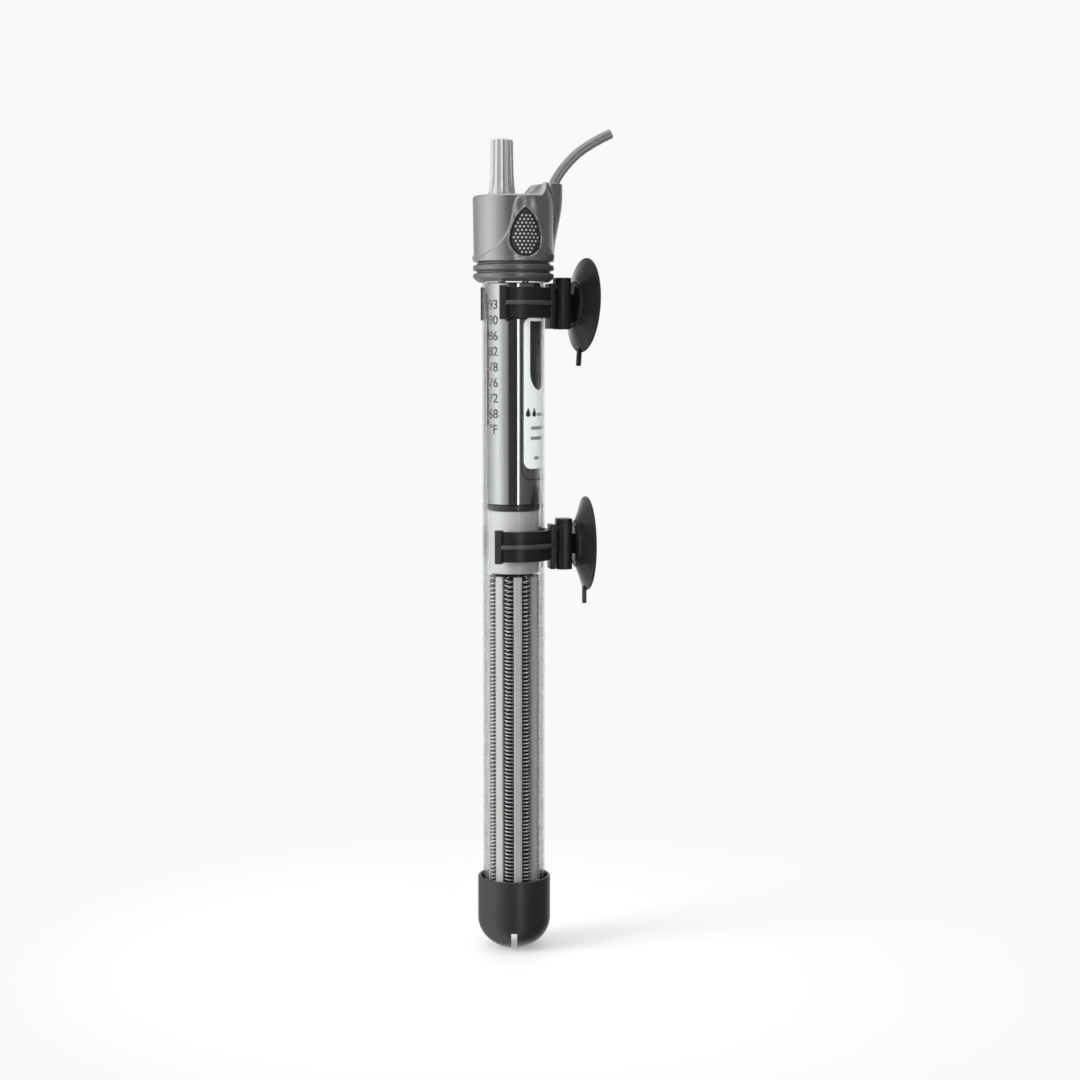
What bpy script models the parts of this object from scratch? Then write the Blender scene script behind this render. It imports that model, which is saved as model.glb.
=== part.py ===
"""Submersible aquarium heater: a glass tube with a ceramic heating core and a thermostat inside, a plastic
head with a turning knob and a cord, a slotted foot guard, and two clips with suction cups.

Metres, +Z up. Every piece is placed from the glass tube's axis, through the empty `tube_axis`. The last step
puts the origin on the ground plane, below the middle of the whole assembly.
"""

from math import asin, cos, pi, radians, sin, sqrt, tau

import bmesh
import bpy
from mathutils import Vector

MM = 0.001

# Glass tube
TUBE_R = 12.5 * MM
TUBE_WALL = 1.3 * MM
TUBE_BOTTOM = 4.5 * MM
TUBE_TOP = 277.2 * MM
TUBE_END_HEIGHT = 9.0 * MM

# Clearances between pieces
GAP = 0.3 * MM
FREE = 0.4 * MM

# Foot guard
FOOT_R = 14.6 * MM
FOOT_WALL = 1.3 * MM
FOOT_TOP = 29.2 * MM
FOOT_DOME = 12.0 * MM
FOOT_FLAT_R = 4.5 * MM
FOOT_SLOT_WIDTH = 2.4 * MM
FOOT_SLOT_TOP = 8.2 * MM
FOOT_SLOT_TURN = radians(-18.0)
FOOT_RIBS = 4

# Heating core
CORE_BOTTOM = 15.0 * MM
CORE_TOP = 151.0 * MM
CORE_R = 10.2 * MM
GROOVES = 8
GROOVE_START = radians(-121.0)
COIL_CENTRE_R = 8.8 * MM
COIL_R = 1.75 * MM
COIL_WIRE_R = 0.3 * MM
LEAD_R = 0.5 * MM

# Insulator, end ring, scale sleeve and label
INSULATOR_BOTTOM = 152.2 * MM
INSULATOR_TOP = 177.1 * MM
INSULATOR_R = 10.1 * MM
END_RING_TOP = 179.6 * MM
END_RING_R = 10.5 * MM
SLEEVE_R = 10.6 * MM
SLEEVE_WALL = 0.4 * MM
SLEEVE_BOTTOM = 179.9 * MM
SLEEVE_TOP = 267.0 * MM
LABEL_BOTTOM = 194.0 * MM
LABEL_TOP = 253.2 * MM
LABEL_HALF_ANGLE = radians(86.0)
LABEL_THICKNESS = 0.2 * MM

# Thermostat, on a mica board that stands across the tube
BOARD_BACK = 0.4 * MM
BOARD_FRONT = 1.6 * MM
BOARD_HALF_WIDTH = 8.0 * MM
BOARD_BOTTOM = 183.0 * MM
BOARD_TOP = 262.0 * MM
CLAMP_BOTTOM = 186.0 * MM
CLAMP_TOP = 191.0 * MM
CLAMP_HALF_WIDTH = 3.0 * MM
STOP_HALF_WIDTH = 2.5 * MM
STOP_HEIGHT = 3.0 * MM
BEND_X = 5.5 * MM
BEND_Z = 189.0 * MM
STRIP_HALF_WIDTH = 2.5 * MM
STRIP_BELOW = 2.0 * MM
STRIP_ABOVE = 54.0 * MM
STRIP_BACK = -0.2 * MM
STRIP_FRONT = 0.3 * MM
CONTACT_R = 1.4 * MM
CONTACT_Z = 232.0 * MM
CONTACT_SPANS = {
    "moving_contact": (4.0 * MM, 5.0 * MM),
    "fixed_contact": (1.9 * MM, 3.7 * MM),
}
MAGNET_SPAN = (1.9 * MM, 4.4 * MM)
MAGNET_HALF_WIDTH = 2.0 * MM
MAGNET_BOTTOM = 238.5 * MM
MAGNET_TOP = 243.0 * MM
CAPACITOR_LOW = (2.0 * MM, -7.0 * MM, 204.0 * MM)
CAPACITOR_HIGH = (6.0 * MM, -3.5 * MM, 214.0 * MM)
RESISTOR_R = 1.1 * MM
RESISTOR_BOTTOM = 246.0 * MM
RESISTOR_TOP = 254.0 * MM
RESISTOR_X = 5.0 * MM
RESISTOR_Y = -4.5 * MM
LAMP_R = 2.0 * MM
LAMP_BOTTOM = 247.0 * MM
LAMP_TOP = 257.0 * MM
LAMP_TIP = 1.6 * MM
LAMP_X = 5.5 * MM
LAMP_Y = 4.2 * MM

# Knob, spindle and temperature pointer
KNOB_X = -4.8 * MM
KNOB_TOP = 323.4 * MM
KNOB_R = 4.45 * MM
KNOB_FLUTES = 14
SPINDLE_R = 1.5 * MM
SPINDLE_BOTTOM = 201.0 * MM
SPINDLE_TOP = 316.0 * MM
POINTER_Z = 233.3 * MM
POINTER_HEIGHT = 5.0 * MM
POINTER_R = 3.0 * MM
SCALE_LOW = 215.0 * MM
SCALE_HIGH = 258.6 * MM

# Head, collar and cord
COLLAR_BOTTOM = 267.4 * MM
COLLAR_TOP = 275.0 * MM
COLLAR_FOOT_R = 14.2 * MM
COLLAR_GROOVE_R = 15.3 * MM
COLLAR_EDGE = 0.2 * MM
COLLAR_LOW_RING = (15.9 * MM, 268.8 * MM, 270.8 * MM)
COLLAR_HIGH_RING = (16.0 * MM, 271.8 * MM, 274.2 * MM)
HEAD_BOTTOM = 275.3 * MM
HEAD_TOP = 301.0 * MM
HEAD_BOTTOM_R = 15.7 * MM
HEAD_TOP_R = 16.1 * MM
HEAD_CAVITY_R = 13.9 * MM
SOCKET_TOP = 281.6 * MM
HEAD_HOLLOW_R = 12.6 * MM
HEAD_ROOF = 3.5 * MM
BOSS_R = 6.5 * MM
BOSS_BOTTOM = 279.0 * MM
BOSS_BOTTOM_X = 9.3 * MM
BOSS_TOP = 306.4 * MM
BOSS_TOP_X = 13.6 * MM
RAMP_END_X = 3.8 * MM
INLAY_WIDTH = 12.0 * MM
INLAY_BOTTOM = 277.4 * MM
INLAY_TOP = 295.4 * MM
INLAY_R = 14.9 * MM
CORD_R = 1.95 * MM
CORD_BORE_R = 1.55 * MM
CORD_CORE_R = 0.6 * MM
CORD_CORE_OFFSET = 0.7 * MM
GLAND_R = 3.1 * MM
BUNG_TOP = 281.0 * MM
BUNG_BOTTOM = 268.0 * MM
CONDUCTOR_X = 5.0 * MM
CONDUCTOR_Y = 2.2 * MM

# Clips and suction cups
UPPER_CLIP_Z = 259.2 * MM
LOWER_CLIP_Z = 163.4 * MM
LOWER_CLIP_TURN = radians(-8.0)
BAND_R = 12.8 * MM
BAND_THICKNESS = 2.0 * MM
BAND_HALF_HEIGHT = 6.0 * MM
BAND_HALF_ANGLE = radians(128.0)
LIP_START = radians(117.0)
LIP_END = radians(129.0)
LIP_HALF_HEIGHT = 6.6 * MM
LIP_R = 16.3 * MM
RIB_R = 15.6 * MM
RIB_HALF_HEIGHT = 1.15 * MM
PLATE_IN = 14.3 * MM
PLATE_OUT = 16.4 * MM
PLATE_HALF_WIDTH = 3.6 * MM
PLATE_BOTTOM = -10.0 * MM
PLATE_TOP = 7.9 * MM
WEB_HALF_WIDTH = 2.0 * MM
WEB_HALF_HEIGHT = 3.0 * MM
BRIDGE_HALF_WIDTH = 3.0 * MM
BRIDGE_BOTTOM = 5.6 * MM
BRIDGE_TOP = 7.7 * MM
BARREL_X = 20.3 * MM
BARREL_DEPTH = 6.4 * MM
BARREL_WIDTH = 8.0 * MM
BARREL_HALF_HEIGHT = 10.2 * MM
BARREL_CORNER_R = 2.5 * MM
BARREL_ROOF = 1.5 * MM
BARREL_BORE_R = 2.6 * MM
BARREL_SLOT = 3.0 * MM
CUP_R = 18.9 * MM
CUP_HUB_R = 9.3 * MM
CUP_FACE = 9.7 * MM
CUP_BACK = 4.2 * MM
CUP_DROOP = radians(3.5)
CUP_LIP = 0.9 * MM
CUP_HOLLOW = 4.2 * MM
NECK_HALF_WIDTH = 0.8 * MM
NECK_HALF_HEIGHT = 4.0 * MM
TAB_LENGTH = 5.4 * MM
TAB_HALF_WIDTH = 1.0 * MM
SHANK_R = 1.9 * MM
SHANK_HALF_HEIGHT = 6.0 * MM

ROUND_STEPS = 40
SMALL_STEPS = 20

# Colours are linear RGB.
COLOURS = {
    "clear_glass": (0.80, 0.84, 0.85),
    "black_plastic": (0.018, 0.018, 0.020),
    "grey_plastic": (0.23, 0.23, 0.24),
    "dark_grey_plastic": (0.09, 0.09, 0.10),
    "inlay_rubber": (0.03, 0.03, 0.032),
    "black_rubber": (0.020, 0.020, 0.022),
    "cord_rubber": (0.13, 0.13, 0.14),
    "silver_film": (0.42, 0.43, 0.44),
    "label_white": (0.80, 0.80, 0.79),
    "ceramic": (0.60, 0.60, 0.57),
    "steel_wire": (0.50, 0.49, 0.47),
    "brass": (0.55, 0.42, 0.17),
    "copper": (0.60, 0.28, 0.16),
    "silicone": (0.55, 0.55, 0.53),
    "mica": (0.38, 0.30, 0.20),
    "pointer_red": (0.55, 0.03, 0.02),
    "lamp_amber": (0.85, 0.35, 0.08),
    "resin_blue": (0.06, 0.13, 0.32),
}
METALS = {"silver_film": 0.6, "steel_wire": 1.0, "brass": 1.0, "copper": 1.0}
ROUGHNESS = {"clear_glass": 0.04, "silver_film": 0.30, "steel_wire": 0.28, "brass": 0.30, "copper": 0.35}
DEFAULT_ROUGHNESS = 0.5


# Scene, materials and small helpers


def clear_scene():
    for obj in list(bpy.data.objects):
        bpy.data.objects.remove(obj, do_unlink=True)


def new_collection(name):
    collection = bpy.data.collections.new(name)
    bpy.context.scene.collection.children.link(collection)
    return collection


def get_material(name):
    material = bpy.data.materials.get(name)
    if material:
        return material
    material = bpy.data.materials.new(name)
    material.use_nodes = True
    shader = material.node_tree.nodes["Principled BSDF"]
    shader.inputs["Base Color"].default_value = (*COLOURS[name], 1.0)
    shader.inputs["Metallic"].default_value = METALS.get(name, 0.0)
    shader.inputs["Roughness"].default_value = ROUGHNESS.get(name, DEFAULT_ROUGHNESS)
    if name == "clear_glass":
        shader.inputs["Transmission Weight"].default_value = 1.0
    return material


def link(name, data, material=None):
    """A new object: a part when it has a material, otherwise a cutter or another helper."""
    obj = bpy.data.objects.new(name, data)
    if material:
        data.materials.clear()
        data.materials.append(get_material(material))
        PARTS.objects.link(obj)
    else:
        obj.hide_render = True
        obj.display_type = "WIRE"
        CUTTERS.objects.link(obj)
    obj.parent = TUBE_AXIS
    return obj


def mesh_from(name, bm):
    mesh = bpy.data.meshes.new(name)
    bm.to_mesh(mesh)
    bm.free()
    return mesh


def add_bool(obj, other, operation):
    modifier = obj.modifiers.new(f"{operation.lower()} {other.name}", "BOOLEAN")
    modifier.operation = operation
    modifier.object = other


def cut(obj, *cutters):
    for cutter in cutters:
        add_bool(obj, cutter, "DIFFERENCE")
    return obj


def join(obj, *others):
    for other in others:
        add_bool(obj, other, "UNION")
    return obj


def baked(obj):
    """The object's finished shape as a plain mesh in its parent's frame, with the object itself removed."""
    bpy.context.view_layer.update()
    graph = bpy.context.evaluated_depsgraph_get()
    mesh = bpy.data.meshes.new_from_object(obj.evaluated_get(graph))
    bm = bmesh.new()
    bm.from_mesh(mesh)
    bmesh.ops.remove_doubles(bm, verts=bm.verts, dist=1e-6)
    bmesh.ops.transform(bm, matrix=obj.matrix_world, verts=bm.verts)
    bpy.data.meshes.remove(mesh)
    bpy.data.objects.remove(obj, do_unlink=True)
    return mesh_from("baked", bm)


def box(name, low, high, material=None):
    bm = bmesh.new()
    bmesh.ops.create_cube(bm, size=1.0)
    size = Vector(high) - Vector(low)
    middle = (Vector(high) + Vector(low)) / 2
    bmesh.ops.scale(bm, vec=size, verts=bm.verts)
    bmesh.ops.translate(bm, vec=middle, verts=bm.verts)
    return link(name, mesh_from(name, bm), material)


def cylinder(name, radius, low, high, x=0.0, y=0.0, material=None, steps=SMALL_STEPS):
    bm = bmesh.new()
    bmesh.ops.create_cone(
        bm, cap_ends=True, segments=steps, radius1=radius, radius2=radius, depth=high - low
    )
    bmesh.ops.translate(bm, vec=(x, y, (low + high) / 2), verts=bm.verts)
    return link(name, mesh_from(name, bm), material)


def turned(name, profile, material=None, x=0.0, steps=ROUND_STEPS, ring=False):
    """A profile of (radius, z) turned about Z. It runs down the outer side; a ring's ends are joined."""
    mesh = bpy.data.meshes.new(name)
    points = [(radius, 0.0, z) for radius, z in profile]
    edges = [(i, i + 1) for i in range(len(points) - 1)]
    if ring:
        edges.append((len(points) - 1, 0))
    edges = [(a, b) for a, b in edges if max(points[a][0], points[b][0]) > 0]
    mesh.from_pydata(points, edges, [])
    obj = link(name, mesh, material)
    obj.location.x = x
    screw = obj.modifiers.new("turn", "SCREW")
    screw.steps = steps
    screw.render_steps = steps
    screw.use_merge_vertices = True
    screw.merge_threshold = 1e-6
    screw.use_smooth_shade = True
    return obj


def torus(name, major, minor, z, material, x=0.0):
    section = [
        (major + minor * cos(-tau * i / 8), z + minor * sin(-tau * i / 8)) for i in range(8)
    ]
    return turned(name, section, material, x=x, steps=SMALL_STEPS, ring=True)


def wire(name, points, radius, material=None, caps=True, sizes=None):
    """A round wire through straight stretches between points. sizes scales its radius at each point."""
    curve = bpy.data.curves.new(name, "CURVE")
    curve.dimensions = "3D"
    curve.bevel_depth = radius
    curve.bevel_resolution = 2
    curve.use_fill_caps = caps
    spline = curve.splines.new("POLY")
    spline.points.add(len(points) - 1)
    for i, (point, place) in enumerate(zip(spline.points, points)):
        point.co = (*place, 1.0)
        point.radius = sizes[i] if sizes else 1.0
    return link(name, curve, material)


def prism(name, outline, low, high):
    """A flat outline of (x, y) points, extruded from z = low to z = high, as a mesh helper."""
    curve = bpy.data.curves.new(name, "CURVE")
    curve.dimensions = "2D"
    curve.fill_mode = "BOTH"
    curve.extrude = (high - low) / 2
    spline = curve.splines.new("POLY")
    spline.points.add(len(outline) - 1)
    spline.use_cyclic_u = True
    for point, (x, y) in zip(spline.points, outline):
        point.co = (x, y, 0.0, 1.0)
    obj = link(name, curve)
    obj.location.z = (low + high) / 2
    return link(name, baked(obj))


def arc(radius, start, end, steps, x=0.0, y=0.0):
    angles = [start + (end - start) * i / steps for i in range(steps + 1)]
    return [(x + radius * cos(a), y + radius * sin(a)) for a in angles]


def sector(name, inner, outer, start, end, half_height, steps):
    outline = arc(outer, start, end, steps) + arc(inner, end, start, steps)
    return prism(name, outline, -half_height, half_height)


def smooth_path(points, steps):
    """Points along a Catmull-Rom curve through the given points."""
    knots = [Vector(p) for p in points]
    knots = [2 * knots[0] - knots[1], *knots, 2 * knots[-1] - knots[-2]]
    path = []
    for a, b, c, d in zip(knots, knots[1:], knots[2:], knots[3:]):
        for i in range(steps):
            t = i / steps
            square = (2 * a - 5 * b + 4 * c - d) * t**2
            cube = (3 * b - a - 3 * c + d) * t**3
            path.append((2 * b + (c - a) * t + square + cube) / 2)
    path.append(knots[-2])
    return path


def half_ellipse(width, height, centre_z, start_r, steps=6):
    """(radius, z) points down a domed end, from its full width in to start_r."""
    sweep = pi / 2 if start_r == 0 else asin(sqrt(1 - (start_r / width) ** 2))
    angles = [sweep * i / steps for i in range(steps + 1)]
    points = [(width * cos(a), centre_z - height * sin(a)) for a in angles]
    if start_r == 0:
        points[-1] = (0.0, centre_z - height)
    return points


def groove_angle(index):
    return GROOVE_START + tau * index / GROOVES


def at_groove(index, z):
    angle = groove_angle(index)
    return (COIL_CENTRE_R * cos(angle), COIL_CENTRE_R * sin(angle), z)


# Tube and foot


def glass_tube():
    dome_z = TUBE_BOTTOM + TUBE_END_HEIGHT
    inner = TUBE_R - TUBE_WALL
    outside = half_ellipse(TUBE_R, TUBE_END_HEIGHT, dome_z, 0.0)
    inside = half_ellipse(inner, TUBE_END_HEIGHT - TUBE_WALL, dome_z, 0.0)
    profile = [(TUBE_R, TUBE_TOP), *outside, *reversed(inside), (inner, TUBE_TOP)]
    return turned("glass_tube", profile, "clear_glass", ring=True)


def foot_guard():
    inner = FOOT_R - FOOT_WALL
    bevel = 0.4 * MM
    dome = FOOT_DOME / sqrt(1 - (FOOT_FLAT_R / FOOT_R) ** 2)
    inner_dome = (FOOT_DOME - FOOT_WALL) / sqrt(1 - (FOOT_FLAT_R / inner) ** 2)
    profile = [
        (inner, FOOT_TOP),
        (FOOT_R - bevel, FOOT_TOP),
        (FOOT_R, FOOT_TOP - bevel),
        *half_ellipse(FOOT_R, dome, FOOT_DOME, FOOT_FLAT_R),
        (0.0, 0.0),
        (0.0, FOOT_WALL),
        *reversed(half_ellipse(inner, inner_dome, FOOT_DOME, FOOT_FLAT_R)),
    ]
    foot = turned("foot_guard", profile, "black_plastic", ring=True)
    for i in range(FOOT_RIBS):
        rib = box(
            f"foot rib {i}",
            (TUBE_R + GAP, -0.6 * MM, FOOT_DOME + 2 * MM),
            (inner + 0.5 * MM, 0.6 * MM, FOOT_TOP - 1.0 * MM),
        )
        rib.rotation_euler.z = FOOT_SLOT_TURN + pi / 4 + tau * i / FOOT_RIBS
        join(foot, rib)
    for i in range(2):
        slot = box(
            f"foot slot {i}",
            (-FOOT_R * 1.5, -FOOT_SLOT_WIDTH / 2, -1 * MM),
            (FOOT_R * 1.5, FOOT_SLOT_WIDTH / 2, FOOT_SLOT_TOP),
        )
        slot.rotation_euler.z = FOOT_SLOT_TURN + i * pi / 2
        cut(foot, slot)
    return foot


def tube_end_pad():
    dome_z = TUBE_BOTTOM + TUBE_END_HEIGHT
    width = TUBE_R - TUBE_WALL - FREE
    side_r = 8.0 * MM
    pad_dome = half_ellipse(width, TUBE_END_HEIGHT - TUBE_WALL - FREE, dome_z, 0.0)
    top = CORE_BOTTOM - 1.3 * MM
    profile = [(0.0, top), (side_r, top), *[p for p in pad_dome if p[0] < side_r]]
    return turned("tube_end_pad", profile, "silicone", steps=SMALL_STEPS)


# Heating core


def ceramic_core():
    core = turned(
        "ceramic_core",
        [(0.0, CORE_TOP), (CORE_R, CORE_TOP), (CORE_R, CORE_BOTTOM), (0.0, CORE_BOTTOM)],
        "ceramic",
        steps=48,
    )
    for i in range(GROOVES):
        x, y, _ = at_groove(i, 0.0)
        groove = cylinder(
            f"core groove {i}", COIL_R + GAP, CORE_BOTTOM - 1 * MM, CORE_TOP + 1 * MM, x, y, steps=16
        )
        cut(core, groove)
    return core


def heating_coil():
    """The wound wire's envelope: it goes down one groove and up the next, with bare wire across the ends."""
    low = CORE_BOTTOM - 0.5 * MM
    high = CORE_TOP + 0.5 * MM
    shoulder = 0.4 * MM
    thin = COIL_WIRE_R / COIL_R
    points = [at_groove(0, high)]
    sizes = [thin]
    for i in range(GROOVES):
        start, end = (high, low) if i % 2 == 0 else (low, high)
        into = -shoulder if i % 2 == 0 else shoulder
        points += [at_groove(i, start + into), at_groove(i, end - into), at_groove(i, end)]
        sizes += [1.0, 1.0, thin]
        if i < GROOVES - 1:
            points.append(at_groove(i + 1, end))
            sizes.append(thin)
    return wire("heating_coil", points, COIL_R, "steel_wire", sizes=sizes)


def insulator_plug():
    plug = turned(
        "insulator_plug",
        [
            (0.0, INSULATOR_TOP),
            (INSULATOR_R, INSULATOR_TOP),
            (INSULATOR_R, INSULATOR_BOTTOM),
            (0.0, INSULATOR_BOTTOM),
        ],
        "ceramic",
    )
    for i in (0, GROOVES - 1):
        x, y, _ = at_groove(i, 0.0)
        hole = cylinder(
            f"lead hole {i}", LEAD_R + GAP, INSULATOR_BOTTOM - 1 * MM, INSULATOR_TOP + 1 * MM, x, y, steps=12
        )
        cut(plug, hole)
    return plug


def lead_wires():
    """The two wires from the coil's ends to the thermostat."""
    for index, name, y in ((0, "lead_wire_a", -5.0 * MM), (GROOVES - 1, "lead_wire_b", 5.0 * MM)):
        points = [
            at_groove(index, CORE_TOP + 1.2 * MM),
            at_groove(index, END_RING_TOP - 2.3 * MM),
            (-2.5 * MM, y, END_RING_TOP + 3.0 * MM),
            (-2.5 * MM, y, END_RING_TOP + 20.0 * MM),
        ]
        wire(name, points, LEAD_R, "copper")


def sleeve_end_ring():
    low = INSULATOR_TOP + GAP
    inner = END_RING_R - 1.2 * MM
    outline = [(END_RING_R, END_RING_TOP), (END_RING_R, low), (inner, low), (inner, END_RING_TOP)]
    return turned("sleeve_end_ring", outline, "dark_grey_plastic", ring=True)


# Thermostat


def scale_sleeve():
    inner = SLEEVE_R - SLEEVE_WALL
    outline = [(SLEEVE_R, SLEEVE_TOP), (SLEEVE_R, SLEEVE_BOTTOM), (inner, SLEEVE_BOTTOM), (inner, SLEEVE_TOP)]
    sleeve = turned("scale_sleeve", outline, "silver_film", ring=True)
    margin = POINTER_HEIGHT / 2 + 1.5 * MM
    window = box(
        "pointer window",
        (-SLEEVE_R - 2 * MM, -1.5 * MM, SCALE_LOW - margin),
        (-SLEEVE_R / 2, 1.5 * MM, SCALE_HIGH + margin),
    )
    return cut(sleeve, window)


def rating_label():
    inner = SLEEVE_R + 0.15 * MM
    label = sector(
        "label outline",
        inner,
        inner + LABEL_THICKNESS,
        -LABEL_HALF_ANGLE,
        LABEL_HALF_ANGLE,
        (LABEL_TOP - LABEL_BOTTOM) / 2,
        steps=20,
    )
    label.location.z = (LABEL_TOP + LABEL_BOTTOM) / 2
    return link("rating_label", baked(label), "label_white")


def thermostat_frame():
    """The mica board, with a clamp block for the bimetal strip and a stop under the spindle."""
    middle = (BOARD_BACK + BOARD_FRONT) / 2
    frame = box(
        "thermostat_frame",
        (BOARD_BACK, -BOARD_HALF_WIDTH, BOARD_BOTTOM),
        (BOARD_FRONT, BOARD_HALF_WIDTH, BOARD_TOP),
        "mica",
    )
    clamp = box(
        "bimetal clamp",
        (middle, -CLAMP_HALF_WIDTH, CLAMP_BOTTOM),
        (BEND_X - 0.5 * MM, CLAMP_HALF_WIDTH, CLAMP_TOP),
    )
    stop_top = SPINDLE_BOTTOM - 0.5 * MM
    stop = box(
        "spindle stop",
        (KNOB_X - STOP_HALF_WIDTH, -STOP_HALF_WIDTH, stop_top - STOP_HEIGHT),
        (middle, STOP_HALF_WIDTH, stop_top),
    )
    return join(frame, clamp, stop)


def bimetal_strip():
    """Its origin is on the line where it bends, beside the clamp."""
    strip = box(
        "bimetal_strip",
        (STRIP_BACK, -STRIP_HALF_WIDTH, -STRIP_BELOW),
        (STRIP_FRONT, STRIP_HALF_WIDTH, STRIP_ABOVE),
        "brass",
    )
    strip.location = (BEND_X, 0.0, BEND_Z)
    return strip


def contacts():
    """The contact on the bimetal strip and the one on the board, facing each other along X."""
    for name, (low, high) in CONTACT_SPANS.items():
        disc = cylinder(name, CONTACT_R, low, high, material="copper", steps=16)
        disc.rotation_euler.y = pi / 2
        disc.location.z = CONTACT_Z


def thermostat_parts():
    box(
        "snap_magnet",
        (MAGNET_SPAN[0], -MAGNET_HALF_WIDTH, MAGNET_BOTTOM),
        (MAGNET_SPAN[1], MAGNET_HALF_WIDTH, MAGNET_TOP),
        "steel_wire",
    )
    box("suppression_capacitor", CAPACITOR_LOW, CAPACITOR_HIGH, "resin_blue")
    cylinder(
        "lamp_resistor",
        RESISTOR_R,
        RESISTOR_BOTTOM,
        RESISTOR_TOP,
        RESISTOR_X,
        RESISTOR_Y,
        "ceramic",
        steps=12,
    )


def indicator_lamp():
    profile = [
        (0.0, LAMP_TOP),
        (LAMP_R * 0.6, LAMP_TOP - LAMP_TIP * 0.3),
        (LAMP_R, LAMP_TOP - LAMP_TIP),
        (LAMP_R, LAMP_BOTTOM),
        (0.0, LAMP_BOTTOM),
    ]
    lamp = turned("indicator_lamp", profile, "lamp_amber", steps=16)
    lamp.location = (LAMP_X, LAMP_Y, 0.0)
    return lamp


# Knob, spindle and pointer


def adjusting_knob():
    base = HEAD_TOP + FREE
    bevel = 0.5 * MM
    bore = SPINDLE_R + GAP
    profile = [
        (0.0, KNOB_TOP),
        (KNOB_R - bevel, KNOB_TOP),
        (KNOB_R, KNOB_TOP - bevel),
        (KNOB_R + 0.25 * MM, base + 7.0 * MM),
        (KNOB_R + 0.6 * MM, base + 3.0 * MM),
        (KNOB_R + 1.05 * MM, base + 0.4 * MM),
        (KNOB_R + 1.05 * MM, base),
        (bore, base),
        (bore, SPINDLE_TOP + FREE),
        (0.0, SPINDLE_TOP + FREE),
    ]
    knob = turned("adjusting_knob", profile, "grey_plastic", x=KNOB_X, steps=56)
    flute_r = 0.7 * MM
    for i in range(KNOB_FLUTES):
        angle = tau * i / KNOB_FLUTES
        reach = KNOB_R + 0.45 * MM
        flute = cylinder(
            f"knob flute {i}",
            flute_r,
            base + 2.5 * MM,
            KNOB_TOP + 1 * MM,
            KNOB_X + reach * cos(angle),
            reach * sin(angle),
            steps=8,
        )
        cut(knob, flute)
    return knob


def spindle():
    """The knob's spindle; its thread carries the pointer."""
    profile = [
        (0.0, SPINDLE_TOP),
        (SPINDLE_R, SPINDLE_TOP),
        (SPINDLE_R, SPINDLE_BOTTOM),
        (0.0, SPINDLE_BOTTOM),
    ]
    return turned("spindle", profile, "brass", x=KNOB_X, steps=16)


def knob_o_ring():
    middle_r = SPINDLE_R + 0.85 * MM
    return torus("knob_o_ring", middle_r, 0.45 * MM, HEAD_TOP - 1.6 * MM, "black_rubber", x=KNOB_X)


def temperature_pointer():
    half = POINTER_HEIGHT / 2
    bore = SPINDLE_R + GAP
    nut = turned(
        "temperature_pointer",
        [(POINTER_R, half), (POINTER_R, -half), (bore, -half), (bore, half)],
        "pointer_red",
        x=KNOB_X,
        steps=16,
        ring=True,
    )
    nut.location.z = POINTER_Z
    tab = box(
        "pointer tab",
        (-(TUBE_R - TUBE_WALL - FREE), -0.9 * MM, POINTER_Z - 0.6 * MM),
        (KNOB_X - POINTER_R + 0.5 * MM, 0.9 * MM, POINTER_Z + 0.6 * MM),
    )
    return join(nut, tab)


# Head, collar, seals and cord


def cord_points():
    """The cord's middle line, from inside the head out of the boss to its cut end."""
    places = (
        (9.0, 284.0),
        (11.9, 292.5),
        (14.6, 300.4),
        (17.0, 306.6),
        (19.4, 310.6),
        (22.5, 314.4),
        (26.8, 318.6),
        (32.0, 322.2),
        (37.4, 325.2),
        (40.8, 326.8),
    )
    return [(x * MM, 0.0, z * MM) for x, z in places]


def teardrop(name, grow, near_r, far_r, turn):
    """A drop, point up, extruded out along -Y and turned, between two radii from the tube's axis."""
    radius = INLAY_WIDTH / 2 + grow
    centre = INLAY_BOTTOM + INLAY_WIDTH / 2
    shoulder = (radius * 0.55, centre + radius * 1.15)
    tip = (0.0, INLAY_TOP + 1.5 * grow)
    outline = [shoulder, tip, (-shoulder[0], shoulder[1])]
    outline += arc(radius, radians(155.0), radians(385.0), 18, 0.0, centre)
    drop = prism(name, outline, near_r * 0.8, far_r + 1 * MM)
    drop.rotation_euler = (pi / 2, 0.0, turn)
    half_angle = radians(40.0)
    middle = turn - pi / 2
    skin = sector(f"{name} skin", near_r, far_r, middle - half_angle, middle + half_angle, 15 * MM, 15)
    skin.location.z = (INLAY_BOTTOM + INLAY_TOP) / 2
    add_bool(drop, skin, "INTERSECT")
    return drop


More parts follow.
